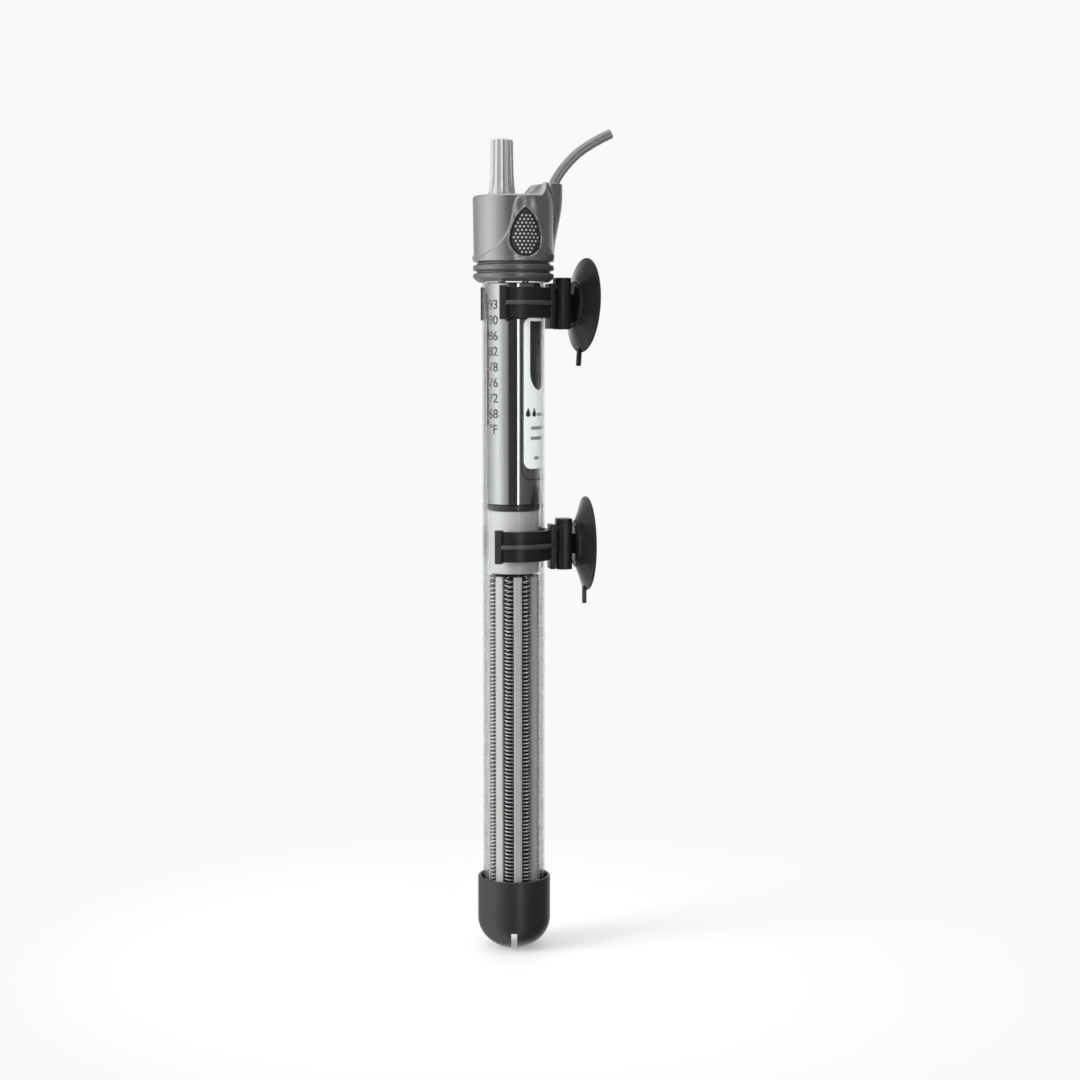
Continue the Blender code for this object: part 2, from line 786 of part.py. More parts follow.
def head_body():
    bevel = 0.7 * MM
    profile = [
        (0.0, HEAD_TOP),
        (HEAD_TOP_R - 2 * bevel, HEAD_TOP),
        (HEAD_TOP_R - 0.5 * bevel, HEAD_TOP - 0.5 * bevel),
        (HEAD_TOP_R, HEAD_TOP - 2 * bevel),
        (HEAD_BOTTOM_R, HEAD_BOTTOM),
        (0.0, HEAD_BOTTOM),
    ]
    head = turned("head_body", profile, "grey_plastic", steps=48)
    join(head, head_boss(), head_ramp())
    roof = HEAD_TOP - HEAD_ROOF
    cut(
        head,
        cylinder("tube socket", HEAD_CAVITY_R, HEAD_BOTTOM - 2 * MM, SOCKET_TOP, steps=48),
        cylinder("head hollow", HEAD_HOLLOW_R, HEAD_BOTTOM, roof, steps=40),
        wire_cutter("cord hole", cord_points()[:5], CORD_R + GAP),
        wire_cutter("gland hole", gland_ends(), GLAND_R + GAP),
        cylinder("spindle hole", SPINDLE_R + FREE, roof - 1 * MM, HEAD_TOP + 1 * MM, KNOB_X),
        cylinder("o-ring seat", SPINDLE_R + 1.6 * MM, HEAD_TOP - 2.4 * MM, HEAD_TOP + 1 * MM, KNOB_X),
    )
    for side, turn in (("front", 0.0), ("rear", pi)):
        cut(head, teardrop(f"{side} inlay pocket", GAP, INLAY_R - GAP, HEAD_TOP_R + 2 * MM, turn))
    return head


def head_boss():
    """The leaning boss that carries the cord out of the head."""
    boss = cylinder("cord boss", BOSS_R, BOSS_BOTTOM, BOSS_TOP, BOSS_BOTTOM_X, steps=28)
    lean = BOSS_TOP_X - BOSS_BOTTOM_X
    for vertex in boss.data.vertices:
        if vertex.co.z > (BOSS_BOTTOM + BOSS_TOP) / 2:
            vertex.co.x += lean
    return boss


def head_ramp():
    """The scooped ramp from the boss down to the head's top."""
    rise = BOSS_TOP - HEAD_TOP
    steps = 8
    outline = []
    for i in range(steps + 1):
        t = i / steps
        x = RAMP_END_X + (BOSS_TOP_X - RAMP_END_X) * t
        outline.append((x, HEAD_TOP + rise * (3 * t**2 - 2 * t**3)))
    outline += [(BOSS_TOP_X, HEAD_TOP - 2 * MM), (RAMP_END_X, HEAD_TOP - 2 * MM)]
    half_width = BOSS_R * 0.85
    ramp = prism("ramp", outline, -half_width, half_width)
    ramp.rotation_euler.x = pi / 2
    return ramp


def wire_cutter(name, points, radius):
    return link(name, baked(wire(name, points, radius)))


def gland_ends():
    return [Vector(cord_points()[0]), Vector(cord_points()[2])]


def cord_gland():
    """A rubber bush round the cord, inside the boss."""
    start, end = gland_ends()
    along = (end - start).normalized()
    tube = wire("cord_gland", [start + along * 8 * MM, end - along * 0.5 * MM], GLAND_R, "black_rubber")
    mesh = baked(tube)
    gland = link("cord_gland", mesh, "black_rubber")
    return cut(gland, wire_cutter("gland bore", [start, end + along * 3 * MM], CORD_R + GAP))


def grip_inlays():
    """The two drop-shaped rubber pads let into the head's flanks."""
    for side, turn in (("front", 0.0), ("rear", pi)):
        pad = teardrop(f"{side} pad", 0.0, INLAY_R, HEAD_BOTTOM_R - 0.1 * MM, turn)
        pad.name = f"grip_inlay_{side}"
        pad.hide_render = False
        pad.display_type = "TEXTURED"
        pad.data.materials.append(get_material("inlay_rubber"))
        CUTTERS.objects.unlink(pad)
        PARTS.objects.link(pad)


def ribbed_collar():
    """Two ring ribs, each given as its radius, bottom and top, over a foot that narrows to the tube."""
    inner = TUBE_R + GAP
    low_r, low_start, low_end = COLLAR_LOW_RING
    high_r, high_start, high_end = COLLAR_HIGH_RING
    profile = [
        (inner, COLLAR_TOP),
        (COLLAR_GROOVE_R, COLLAR_TOP),
        (COLLAR_GROOVE_R, high_end + COLLAR_EDGE),
        (high_r, high_end),
        (high_r, high_start),
        (COLLAR_GROOVE_R, high_start - COLLAR_EDGE),
        (COLLAR_GROOVE_R, low_end + COLLAR_EDGE),
        (low_r, low_end),
        (low_r, low_start),
        (COLLAR_FOOT_R, COLLAR_BOTTOM),
        (inner, COLLAR_BOTTOM),
    ]
    return turned("ribbed_collar", profile, "dark_grey_plastic", ring=True)


def tube_seal_ring():
    middle_r = (TUBE_R + HEAD_CAVITY_R) / 2
    return torus("tube_seal_ring", middle_r, 0.4 * MM, HEAD_BOTTOM + 0.9 * MM, "black_rubber")


def rubber_bung():
    """The stopper in the tube's mouth, with holes for the spindle and the two conductors."""
    body_r = TUBE_R - TUBE_WALL - GAP
    flange_r = HEAD_CAVITY_R - FREE
    profile = [
        (0.0, BUNG_TOP),
        (flange_r, BUNG_TOP),
        (flange_r, TUBE_TOP + FREE),
        (body_r, TUBE_TOP + FREE),
        (body_r, BUNG_BOTTOM),
        (0.0, BUNG_BOTTOM),
    ]
    bung = turned("rubber_bung", profile, "silicone")
    low, high = BUNG_BOTTOM - 1 * MM, BUNG_TOP + 1 * MM
    cut(bung, cylinder("bung spindle hole", SPINDLE_R + GAP, low, high, KNOB_X))
    for side in (-1, 1):
        name = f"bung wire hole {side}"
        y = side * CONDUCTOR_Y
        cut(bung, cylinder(name, CORD_CORE_R + GAP, low, high, CONDUCTOR_X, y, steps=12))
    return bung


def power_cord():
    path = cord_points()[:1] + smooth_path(cord_points()[1:], 2)
    surface = wire("power_cord", path, CORD_R, caps=False)
    cord = link("power_cord", baked(surface), "cord_rubber")
    shell = cord.modifiers.new("wall", "SOLIDIFY")
    shell.thickness = CORD_R - CORD_BORE_R
    shell.offset = -1.0
    return cord


def cord_cores():
    """Two insulated conductors: down the cord, through the bung and on to the thermostat board."""
    inside = [
        (7.0 * MM, 1.6 * MM, BUNG_TOP + 1.7 * MM),
        (CONDUCTOR_X, CONDUCTOR_Y, BUNG_TOP + 0.7 * MM),
        (CONDUCTOR_X, CONDUCTOR_Y, BUNG_BOTTOM - 2 * MM),
        (BOARD_FRONT + 1.4 * MM, CONDUCTOR_Y, BOARD_TOP - 2 * MM),
    ]
    path = cord_points()[:1] + smooth_path(cord_points()[1:], 2)
    for name, side in (("cord_core_a", -1), ("cord_core_b", 1)):
        outside = [(x, side * CORD_CORE_OFFSET, z) for x, _, z in reversed(path)]
        lower = [(x, side * y, z) for x, y, z in inside]
        wire(name, outside + lower, CORD_CORE_R, "copper")


# Clips and suction cups


def rounded_rectangle(width, depth, radius, x):
    corners = (
        (x + width / 2 - radius, depth / 2 - radius, 0.0),
        (x - width / 2 + radius, depth / 2 - radius, pi / 2),
        (x - width / 2 + radius, -depth / 2 + radius, pi),
        (x + width / 2 - radius, -depth / 2 + radius, 1.5 * pi),
    )
    return [
        point for cx, cy, start in corners for point in arc(radius, start, start + pi / 2, 4, cx, cy)
    ]


def clip_mesh():
    """One clip about the tube's axis: C-band, end lips, rib, back plate and the cup's channel, facing +X."""
    outer = BAND_R + BAND_THICKNESS
    clip = sector("clip band", BAND_R, outer, -BAND_HALF_ANGLE, BAND_HALF_ANGLE, BAND_HALF_HEIGHT, 32)
    rib_end = LIP_START + radians(5.0)
    join(clip, sector("clip rib", outer - 0.5 * MM, RIB_R, -rib_end, rib_end, RIB_HALF_HEIGHT, 29))
    for side in (-1, 1):
        ends = sorted((side * LIP_START, side * LIP_END))
        join(clip, sector(f"clip lip {side}", BAND_R + GAP, LIP_R, *ends, LIP_HALF_HEIGHT, 4))
    overlap = 0.4 * MM
    inner_x = PLATE_OUT - overlap
    barrel_in = BARREL_X - BARREL_DEPTH / 2 + 0.5 * MM
    plate = box(
        "clip plate",
        (PLATE_IN, -PLATE_HALF_WIDTH, PLATE_BOTTOM),
        (PLATE_OUT, PLATE_HALF_WIDTH, PLATE_TOP),
    )
    web = box(
        "clip web",
        (inner_x, -WEB_HALF_WIDTH, -WEB_HALF_HEIGHT),
        (barrel_in, WEB_HALF_WIDTH, WEB_HALF_HEIGHT),
    )
    bridge = box(
        "clip bridge",
        (inner_x, -BRIDGE_HALF_WIDTH, BRIDGE_BOTTOM),
        (barrel_in, BRIDGE_HALF_WIDTH, BRIDGE_TOP),
    )
    barrel = prism(
        "clip barrel",
        rounded_rectangle(BARREL_DEPTH, BARREL_WIDTH, BARREL_CORNER_R, BARREL_X),
        -BARREL_HALF_HEIGHT,
        BARREL_HALF_HEIGHT,
    )
    join(clip, plate, web, bridge, barrel)
    below = -BARREL_HALF_HEIGHT - 1 * MM
    roof = BARREL_HALF_HEIGHT - BARREL_ROOF
    bore = cylinder("clip bore", BARREL_BORE_R, below, roof, BARREL_X)
    slot = box(
        "clip slot",
        (BARREL_X, -BARREL_SLOT / 2, below),
        (BARREL_X + BARREL_DEPTH, BARREL_SLOT / 2, roof),
    )
    cut(clip, bore, slot)
    return baked(clip)


def cup_mesh():
    """One suction cup about its shank: the cup faces +X, and the shank runs along Z through the origin."""
    profile = [
        (0.0, CUP_FACE - CUP_HOLLOW),
        (CUP_HUB_R - 2.5 * MM, CUP_FACE - CUP_HOLLOW + 0.3 * MM),
        (CUP_HUB_R + 1.5 * MM, CUP_FACE - CUP_HOLLOW + 1.6 * MM),
        (CUP_R - 1.4 * MM, CUP_FACE),
        (CUP_R - 0.1 * MM, CUP_FACE),
        (CUP_R, CUP_FACE - CUP_LIP),
        (CUP_HUB_R + 0.6 * MM, CUP_BACK + 0.5 * MM),
        (CUP_HUB_R, CUP_BACK),
        (0.0, CUP_BACK),
    ]
    cup = turned("cup shell", profile)
    cup.rotation_euler.y = pi / 2
    neck = box(
        "cup neck",
        (0.0, -NECK_HALF_WIDTH, -NECK_HALF_HEIGHT),
        (CUP_BACK + 1 * MM, NECK_HALF_WIDTH, NECK_HALF_HEIGHT),
    )
    shank = cylinder("cup shank", SHANK_R, -SHANK_HALF_HEIGHT, SHANK_HALF_HEIGHT)
    tab = box(
        "cup tab",
        (CUP_FACE - CUP_LIP - 1 * MM, -TAB_HALF_WIDTH, -CUP_R - TAB_LENGTH),
        (CUP_FACE - 0.4 * MM, TAB_HALF_WIDTH, -CUP_R + 1.5 * MM),
    )
    join(cup, neck, shank, tab)
    return baked(cup)


def clips_and_cups():
    """Each cup hangs on its clip's barrel axis, so it moves with the clip and swivels in it."""
    clip = clip_mesh()
    cup = cup_mesh()
    for name, z, turn, droop in (
        ("upper", UPPER_CLIP_Z, 0.0, CUP_DROOP),
        ("lower", LOWER_CLIP_Z, LOWER_CLIP_TURN, 0.0),
    ):
        holder = link(f"{name}_clip", clip, "black_plastic")
        holder.location.z = z
        holder.rotation_euler.z = turn
        sucker = link(f"{name}_suction_cup", cup, "black_rubber")
        sucker.parent = holder
        sucker.location.x = BARREL_X
        sucker.rotation_euler.y = droop


def place_origin():
    """Puts the world origin below the middle of the assembly's bounds, on the plane the foot stands on."""
    bpy.context.view_layer.update()
    graph = bpy.context.evaluated_depsgraph_get()
    corners = []
    for obj in PARTS.objects:
        if obj.type == "EMPTY":
            continue
        shape = obj.evaluated_get(graph)
        mesh = shape.to_mesh()
        corners += [shape.matrix_world @ vertex.co for vertex in mesh.vertices]
        shape.to_mesh_clear()
    for axis in (0, 1):
        values = [corner[axis] for corner in corners]
        TUBE_AXIS.location[axis] = -(min(values) + max(values)) / 2


clear_scene()
PARTS = new_collection("aquarium_heater")
CUTTERS = new_collection("cutters")
TUBE_AXIS = bpy.data.objects.new("tube_axis", None)
PARTS.objects.link(TUBE_AXIS)

glass_tube()
foot_guard()
tube_end_pad()
ceramic_core()
heating_coil()
insulator_plug()
lead_wires()
sleeve_end_ring()
scale_sleeve()
rating_label()
thermostat_frame()
bimetal_strip()
contacts()
thermostat_parts()
indicator_lamp()
adjusting_knob()
spindle()
knob_o_ring()
temperature_pointer()
head_body()
cord_gland()
grip_inlays()
ribbed_collar()
tube_seal_ring()
rubber_bung()
power_cord()
cord_cores()
clips_and_cups()
place_origin()
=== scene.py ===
"""Looks of the submersible aquarium heater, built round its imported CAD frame.

The builders below work in millimetres from the glass tube's axis, on the plane the foot guard stands on, and
`at` turns that into a place in the frame. +X is the side of the suction cups and the cord.
"""

from math import acos, asin, cos, exp, hypot, pi, radians, sin, sqrt, tau

import bmesh
import bpy
from mathutils import Matrix, Vector, noise


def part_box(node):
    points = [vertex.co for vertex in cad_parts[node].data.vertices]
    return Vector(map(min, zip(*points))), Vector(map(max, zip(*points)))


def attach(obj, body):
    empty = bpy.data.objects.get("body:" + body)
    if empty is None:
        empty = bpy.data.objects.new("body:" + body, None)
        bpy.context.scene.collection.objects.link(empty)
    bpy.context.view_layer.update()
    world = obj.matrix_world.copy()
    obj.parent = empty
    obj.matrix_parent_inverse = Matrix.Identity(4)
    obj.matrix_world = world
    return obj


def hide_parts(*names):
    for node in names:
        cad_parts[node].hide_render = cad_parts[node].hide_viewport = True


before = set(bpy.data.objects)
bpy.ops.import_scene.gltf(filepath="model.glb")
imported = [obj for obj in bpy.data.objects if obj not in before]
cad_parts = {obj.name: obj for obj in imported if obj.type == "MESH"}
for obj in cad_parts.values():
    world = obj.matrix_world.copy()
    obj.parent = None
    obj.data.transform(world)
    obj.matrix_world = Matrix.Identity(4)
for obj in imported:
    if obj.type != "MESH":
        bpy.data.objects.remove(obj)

MM = 0.001
UP = Vector((0.0, 0.0, 1.0))
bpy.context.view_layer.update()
TUBE_LOW, TUBE_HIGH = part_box("glass_tube")
AXIS = Vector(((TUBE_LOW.x + TUBE_HIGH.x) / 2, (TUBE_LOW.y + TUBE_HIGH.y) / 2, 0.0))


def span(node):
    """A CAD node's lowest and highest corner, in millimetres from the tube's axis."""
    low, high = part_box(node)
    return (low - AXIS) / MM, (high - AXIS) / MM


def at(x, y, z):
    return AXIS + Vector((x, y, z)) * MM


# Sizes read off the CAD frame


def heights(node):
    low, high = span(node)
    return low.z, high.z


def outer_x(node):
    """How far a CAD node reaches towards +X from the tube's axis."""
    return span(node)[1].x


TUBE_R = outer_x("glass_tube")
FOOT_R = outer_x("foot_guard")
PLUG_R = outer_x("insulator_plug")
RING_R = outer_x("sleeve_end_ring")
SLEEVE_R = outer_x("scale_sleeve")
LABEL_R = outer_x("rating_label")
COLLAR_R = outer_x("ribbed_collar")
CORE_R = span("ceramic_core")[1].y
TUBE_BOTTOM, TUBE_TOP = heights("glass_tube")
_, FOOT_TOP = heights("foot_guard")
CORE_BOTTOM, CORE_TOP = heights("ceramic_core")
PLUG_BOTTOM, PLUG_TOP = heights("insulator_plug")
RING_BOTTOM, RING_TOP = heights("sleeve_end_ring")
SLEEVE_BOTTOM, SLEEVE_TOP = heights("scale_sleeve")
LABEL_BOTTOM, LABEL_TOP = heights("rating_label")
COLLAR_BOTTOM, COLLAR_TOP = heights("ribbed_collar")
HEAD_BOTTOM, BOSS_TOP = heights("head_body")
INLAY_BOTTOM, INLAY_TOP = heights("grip_inlay_front")
KNOB_BOTTOM, KNOB_TOP = heights("adjusting_knob")
KNOB_X = sum(corner.x for corner in span("adjusting_knob")) / 2

# Sizes of the fine shapes

WALL = 1.3
DOME = 9.0
ROUND = 128
GROOVES = 8
GROOVE_START = radians(-121.0)
COIL_CENTRE_R = 8.8
GROOVE_R = 2.05
MOUTH_HALF_WIDTH = 2.05
COIL_R = 1.65
COIL_PITCH = 1.5
COIL_WIRE_R = 0.28
SLEEVE_WALL = 0.4
INK_SINK = 0.02
WINDOW_HALF = 1.5
WINDOW_BOTTOM, WINDOW_TOP = 211.0, 262.6
LABEL_HALF_ANGLE = radians(86.0)
HEAD_TOP = 301.0
HEAD_LOW_R, HEAD_TOP_R = 15.7, 16.1
INLAY_FLOOR_R = 15.3
BOSS_R = 6.5
BOSS_LOW_X, BOSS_HIGH_X = 10.0, 13.6
BOSS_BOTTOM = 279.0
KNOB_R = 4.45
CORD_R = 1.95
BARREL_X = 20.3
CUP_FACE = 9.7
LOWER_TURN = radians(-8.0)
CLIPS = (("upper", 259.2, 0.0, radians(3.5)), ("lower", 163.4, LOWER_TURN, 0.0))


# Materials


def new_tree(name):
    """A new material, its node tree and its Principled node."""
    made = bpy.data.materials.new(name)
    made.use_nodes = True
    return made, made.node_tree, made.node_tree.nodes["Principled BSDF"]


def feed(tree, node, inputs):
    """Sets a node's inputs to plain values, or joins them to other nodes' outputs."""
    for key, value in dict(inputs).items():
        if isinstance(value, bpy.types.NodeSocket):
            tree.links.new(value, node.inputs[key])
        else:
            node.inputs[key].default_value = value


def add(tree, kind, inputs=(), **settings):
    """A new shader node. inputs are values or sockets, and settings are the node's own."""
    made = tree.nodes.new(f"ShaderNode{kind}")
    for key, value in settings.items():
        setattr(made, key, value)
    feed(tree, made, inputs)
    return made


def speckle(tree, scale, detail=4.0):
    """Noise over the object's own coordinates, from 0 to 1."""
    place = add(tree, "TexCoord").outputs["Object"]
    return add(tree, "TexNoise", {"Vector": place, "Scale": scale, "Detail": detail}).outputs["Fac"]


def ramp(tree, source, stops):
    """A colour ramp on source, from (place, colour) stops."""
    made = add(tree, "ValToRGB", {"Fac": source})
    elements = made.color_ramp.elements
    first, *middle, last = stops
    for element, (place, colour) in zip(elements, (first, last)):
        element.position = place
        element.color = (*colour, 1.0)
    for place, colour in middle:
        elements.new(place).color = (*colour, 1.0)
    return made.outputs["Color"]


def maths(tree, operation, first, second):
    return add(tree, "Math", {0: first, 1: second}, operation=operation).outputs[0]


def remap(tree, source, low, high, start=0.0, end=1.0):
    """source carried from start..end to low..high, and held at their limits."""
    inputs = {"Value": source, "From Min": start, "From Max": end, "To Min": low, "To Max": high}
    return add(tree, "MapRange", inputs).outputs["Result"]


def mixed(tree, amount, first, second):
    return add(tree, "MixShader", {0: amount, 1: first.outputs[0], 2: second.outputs[0]})


def shown(tree, shader, output="Material Output"):
    tree.links.new(shader.outputs[0], tree.nodes[output].inputs["Surface"])


def moulded(name, colour, roughness, spread=0.08, mottle=0.08, grain=1500.0, bump=0.02, **inputs):
    """A Principled finish: its colour, roughness and normal all vary with a fine noise."""
    made, tree, shader = new_tree(name)
    fine = speckle(tree, grain)
    broad = speckle(tree, grain / 25, detail=2.0)
    dark = [channel * (1 - mottle) for channel in colour]
    light = [min(1.0, channel * (1 + mottle)) for channel in colour]
    relief = add(tree, "Bump", {"Strength": 1.0, "Distance": bump * MM, "Height": fine})
    base = ramp(tree, fine, ((0.3, dark), (0.7, light)))
    uneven = remap(tree, broad, roughness - spread, roughness + spread)
    feed(tree, shader, {"Base Color": base, "Roughness": uneven, "Normal": relief.outputs["Normal"]})
    feed(tree, shader, {key.replace("_", " "): value for key, value in inputs.items()})
    return made


def clear_glass():
    """Glass that lets lamps through, so that what is behind it is lit, and that fades at its edges."""
    made, tree, shader = new_tree("clear_glass")
    tint = (0.985, 0.995, 0.99, 1.0)
    uneven = remap(tree, speckle(tree, 60.0), 0.0, 0.03)
    feed(tree, shader, {"Base Color": tint, "Roughness": uneven, "IOR": 1.2, "Transmission Weight": 1.0})
    through = add(tree, "BsdfTransparent", {"Color": tint})
    rays = add(tree, "LightPath").outputs
    lighting = maths(tree, "MAXIMUM", rays["Is Shadow Ray"], rays["Is Diffuse Ray"])
    edge = add(tree, "LayerWeight", {"Blend": 0.5}).outputs["Facing"]
    soft = maths(tree, "MULTIPLY", maths(tree, "POWER", edge, 1.4), 0.95)
    shown(tree, mixed(tree, maths(tree, "MAXIMUM", lighting, soft), shader, through))
    return made


def cup_rubber():
    """Black rubber that lets a little light through where it is thin."""
    finish = {"spread": 0.05, "bump": 0.01, "grain": 700.0, "Specular_IOR_Level": 0.25}
    made = moulded("cup_rubber", (0.012, 0.012, 0.013), 0.14, **finish)
    tree = made.node_tree
    glow = add(tree, "BsdfTranslucent", {"Color": (0.16, 0.16, 0.17, 1.0)})
    shown(tree, mixed(tree, 0.08, tree.nodes["Principled BSDF"], glow))
    return made


def grooved_ceramic():
    """Pale ceramic with painted shade: its colour goes dark down in the grooves, round the coil."""
    made = moulded("ceramic", (0.36, 0.36, 0.35), 0.72, mottle=0.10, grain=2500.0, bump=0.06)
    tree = made.node_tree
    place = add(tree, "TexCoord").outputs["Object"]
    offset = add(tree, "VectorMath", {0: place, 1: AXIS}, operation="SUBTRACT").outputs[0]
    flat = add(tree, "VectorMath", {0: offset, 1: (1.0, 1.0, 0.0)}, operation="MULTIPLY").outputs[0]
    radius = add(tree, "VectorMath", {0: flat}, operation="LENGTH").outputs["Value"]
    # Painted shade: the colour fades to black towards the bottom of each groove.
    depth = remap(tree, radius, 0.06, 1.0, (CORE_R - 2.2) * MM, (CORE_R - 0.3) * MM)
    base = tree.nodes["Principled BSDF"].inputs["Base Color"]
    shaded = {0: depth, 6: (0.0, 0.0, 0.0, 1.0), 7: base.links[0].from_socket}
    tree.links.new(add(tree, "Mix", shaded, data_type="RGBA").outputs[2], base)
    return made


SMOOTH_METAL = {"spread": 0.015, "mottle": 0.03, "bump": 0.002, "Metallic": 1.0}
# Painted light: the label film glows a little, so the white label looks lit from the front.
LABEL_PAINTED_LIGHT = {"Emission_Color": (1.0, 1.0, 1.0, 1.0), "Emission_Strength": 0.26}
FINISH = {"clear_glass": clear_glass(), "cup_rubber": cup_rubber(), "ceramic": grooved_ceramic()}
for name, colour, roughness, settings in (
    ("lamp_glass", (0.95, 0.45, 0.12), 0.12, {"spread": 0.04, "Transmission_Weight": 0.6}),
    ("black_plastic", (0.020, 0.020, 0.022), 0.34, {}),
    ("clip_plastic", (0.012, 0.012, 0.013), 0.30, {"Specular_IOR_Level": 0.4}),
    # The rib is the clip's black plastic, made lighter as a painted highlight on its rounded face.
    ("rib_plastic_painted_highlight", (0.055, 0.055, 0.058), 0.26, {}),
    ("grey_plastic", (0.41, 0.41, 0.415), 0.29, {"mottle": 0.05, "bump": 0.012, "Metallic": 0.92}),
    ("knob_plastic", (0.46, 0.46, 0.465), 0.28, {"mottle": 0.04, "Metallic": 0.40}),
    ("dark_plastic", (0.19, 0.19, 0.195), 0.32, {"mottle": 0.06, "Metallic": 0.80}),
    ("ring_plastic", (0.018, 0.018, 0.019), 0.30, {"mottle": 0.06}),
    ("inlay_rubber", (0.022, 0.022, 0.024), 0.55, {}),
    ("dot_rubber", (0.42, 0.42, 0.43), 0.42, {}),
    ("seal_rubber", (0.02, 0.02, 0.02), 0.6, {}),
    ("cord_jacket", (0.20, 0.20, 0.205), 0.50, {"mottle": 0.02, "bump": 0.001}),
    ("core_insulation", (0.36, 0.20, 0.11), 0.4, {}),
    ("silicone", (0.60, 0.60, 0.58), 0.5, {"Subsurface_Weight": 0.2}),
    ("silver_film", (0.58, 0.585, 0.59), 0.075, SMOOTH_METAL),
    # The label film's emission is painted light.
    ("label_film", (0.84, 0.85, 0.85), 0.38, {"mottle": 0.02, "bump": 0.01, **LABEL_PAINTED_LIGHT}),
    ("band_ink", (0.03, 0.03, 0.032), 0.7, {"mottle": 0.04, "Specular_IOR_Level": 0.1}),
    ("ink", (0.04, 0.04, 0.045), 0.7, {"Specular_IOR_Level": 0.1}),
    ("grey_ink", (0.30, 0.31, 0.32), 0.45, {}),
    ("plug_ceramic", (0.38, 0.38, 0.37), 0.40, {"mottle": 0.06, "grain": 2500.0, "bump": 0.03}),
    ("resistance_wire", (0.93, 0.92, 0.91), 0.24, {"mottle": 0.12, "Metallic": 1.0}),
    ("copper", (0.72, 0.36, 0.22), 0.3, {"Metallic": 1.0}),
    ("brass", (0.68, 0.54, 0.26), 0.28, {"Metallic": 1.0}),
    ("board", (0.42, 0.33, 0.20), 0.5, {"mottle": 0.2, "grain": 400.0}),
    ("magnet", (0.40, 0.40, 0.41), 0.25, {"Metallic": 1.0}),
    ("resin", (0.06, 0.14, 0.36), 0.25, {"Coat_Weight": 0.4}),
    ("pointer_red", (0.30, 0.022, 0.015), 0.3, {}),
):
    FINISH[name] = moulded(name, colour, roughness, **settings)

# CAD nodes that keep their shape, by their finish: they are inside, and mostly hidden

KEPT_NODES = {
    "silicone": ("tube_end_pad", "rubber_bung"),
    "copper": ("lead_wire_a", "lead_wire_b", "moving_contact", "fixed_contact"),
    "board": ("thermostat_frame",),
    "brass": ("bimetal_strip",),
    "magnet": ("snap_magnet",),
    "resin": ("suppression_capacitor",),
    "plug_ceramic": ("lamp_resistor",),
    "lamp_glass": ("indicator_lamp",),
    "seal_rubber": ("knob_o_ring", "tube_seal_ring", "cord_gland"),
    "pointer_red": ("temperature_pointer",),
    "core_insulation": ("cord_core_a", "cord_core_b"),
}


# Shapes, as (points, faces)


def skin(rows, start=None, end=None, loop=False):
    """A closed surface through equal rings of points. start and end are points that close its two ends."""
    count = len(rows[0])
    edges = [(i, (i + 1) % count) for i in range(count)]
    points = [point for row in rows for point in row]
    bases = [count * i for i in range(len(rows))]
    pairs = [*zip(bases, bases[1:]), *([(bases[-1], 0)] if loop else [])]
    faces = [(low + i, low + j, high + j, high + i) for low, high in pairs for i, j in edges]
    for tip, base in ((start, 0), (end, bases[-1])):
        if tip is not None:
            faces += [(base + i, base + j, len(points)) for i, j in edges]
            points.append(tip)
    return points, faces


def merged(*shapes):
    points, faces = [], []
    for more_points, more_faces in shapes:
        base = len(points)
        points += more_points
        faces += [tuple(base + i for i in face) for face in more_faces]
    return points, faces


def polar(radius, angle, z, x=0.0):
    """A point at an angle about the upright line through (x, 0)."""
    return x + radius * cos(angle), radius * sin(angle), z


def ellipse(x, y, wide, tall, start, turn, steps):
    """Points along part of an ellipse about (x, y)."""
    angles = [start + turn * i / steps for i in range(steps + 1)]
    return [(x + wide * cos(a), y + tall * sin(a)) for a in angles]


def circle(radius, steps, x=0.0, y=0.0):
    return ellipse(x, y, radius, radius, 0.0, tau, steps)[:-1]


def lathe(profile, steps=ROUND, x=0.0, y=0.0, loop=False):
    """(radius, z) points turned about an upright line. A point of radius 0 at either end closes that end."""
    start = (x, y, profile[0][1]) if profile[0][0] == 0 else None
    end = (x, y, profile[-1][1]) if profile[-1][0] == 0 else None
    rows = [[(*spot, z) for spot in circle(radius, steps, x, y)] for radius, z in profile if radius > 0]
    return skin(rows, start, end, loop)


def post(radius, low, high):
    """The (radius, z) outline of a solid round post."""
    return [(0.0, low), (radius, low), (radius, high), (0.0, high)]


def collar(inner, outer, low, high):
    """The closed (radius, z) outline of a round band."""
    return [(inner, low), (outer, low), (outer, high), (inner, high)]


def softened(corners, radius, steps=4):
    """A (radius, z) outline with each inner corner rounded. The first and last points stay as they are."""
    made = [corners[0]]
    for before, here, after in zip(corners, corners[1:], corners[2:]):
        here = Vector(here)
        back, on = Vector(before) - here, Vector(after) - here
        reach = min(radius, back.length / 2.01, on.length / 2.01)
        start, end = here + back.normalized() * reach, here + on.normalized() * reach
        for i in range(steps + 1):
            t = i / steps
            point = start * (1 - t) ** 2 + here * 2 * t * (1 - t) + end * t**2
            made.append((point.x, point.y))
    made.append(corners[-1])
    return made


def softened_ring(corners, radius, steps=4):
    """A closed outline with every corner rounded."""
    return softened([corners[-1], *corners, corners[0]], radius, steps)[1:-1]


def sweep(path, section):
    """A (side, up) section carried along a path, with a frame that turns as little as it can."""
    path = [Vector(point) for point in path]
    rows = []
    side = None
    for i, point in enumerate(path):
        along = (path[min(i + 1, len(path) - 1)] - path[max(i - 1, 0)]).normalized()
        if side is None:
            side = along.orthogonal() if abs(along.y) > 0.9 else along.cross(Vector((0, 1, 0)))
        side = (side - along * side.dot(along)).normalized()
        up = along.cross(side)
        rows.append([tuple(point + side * a + up * b) for a, b in section])
    return skin(rows, tuple(path[0]), tuple(path[-1]))


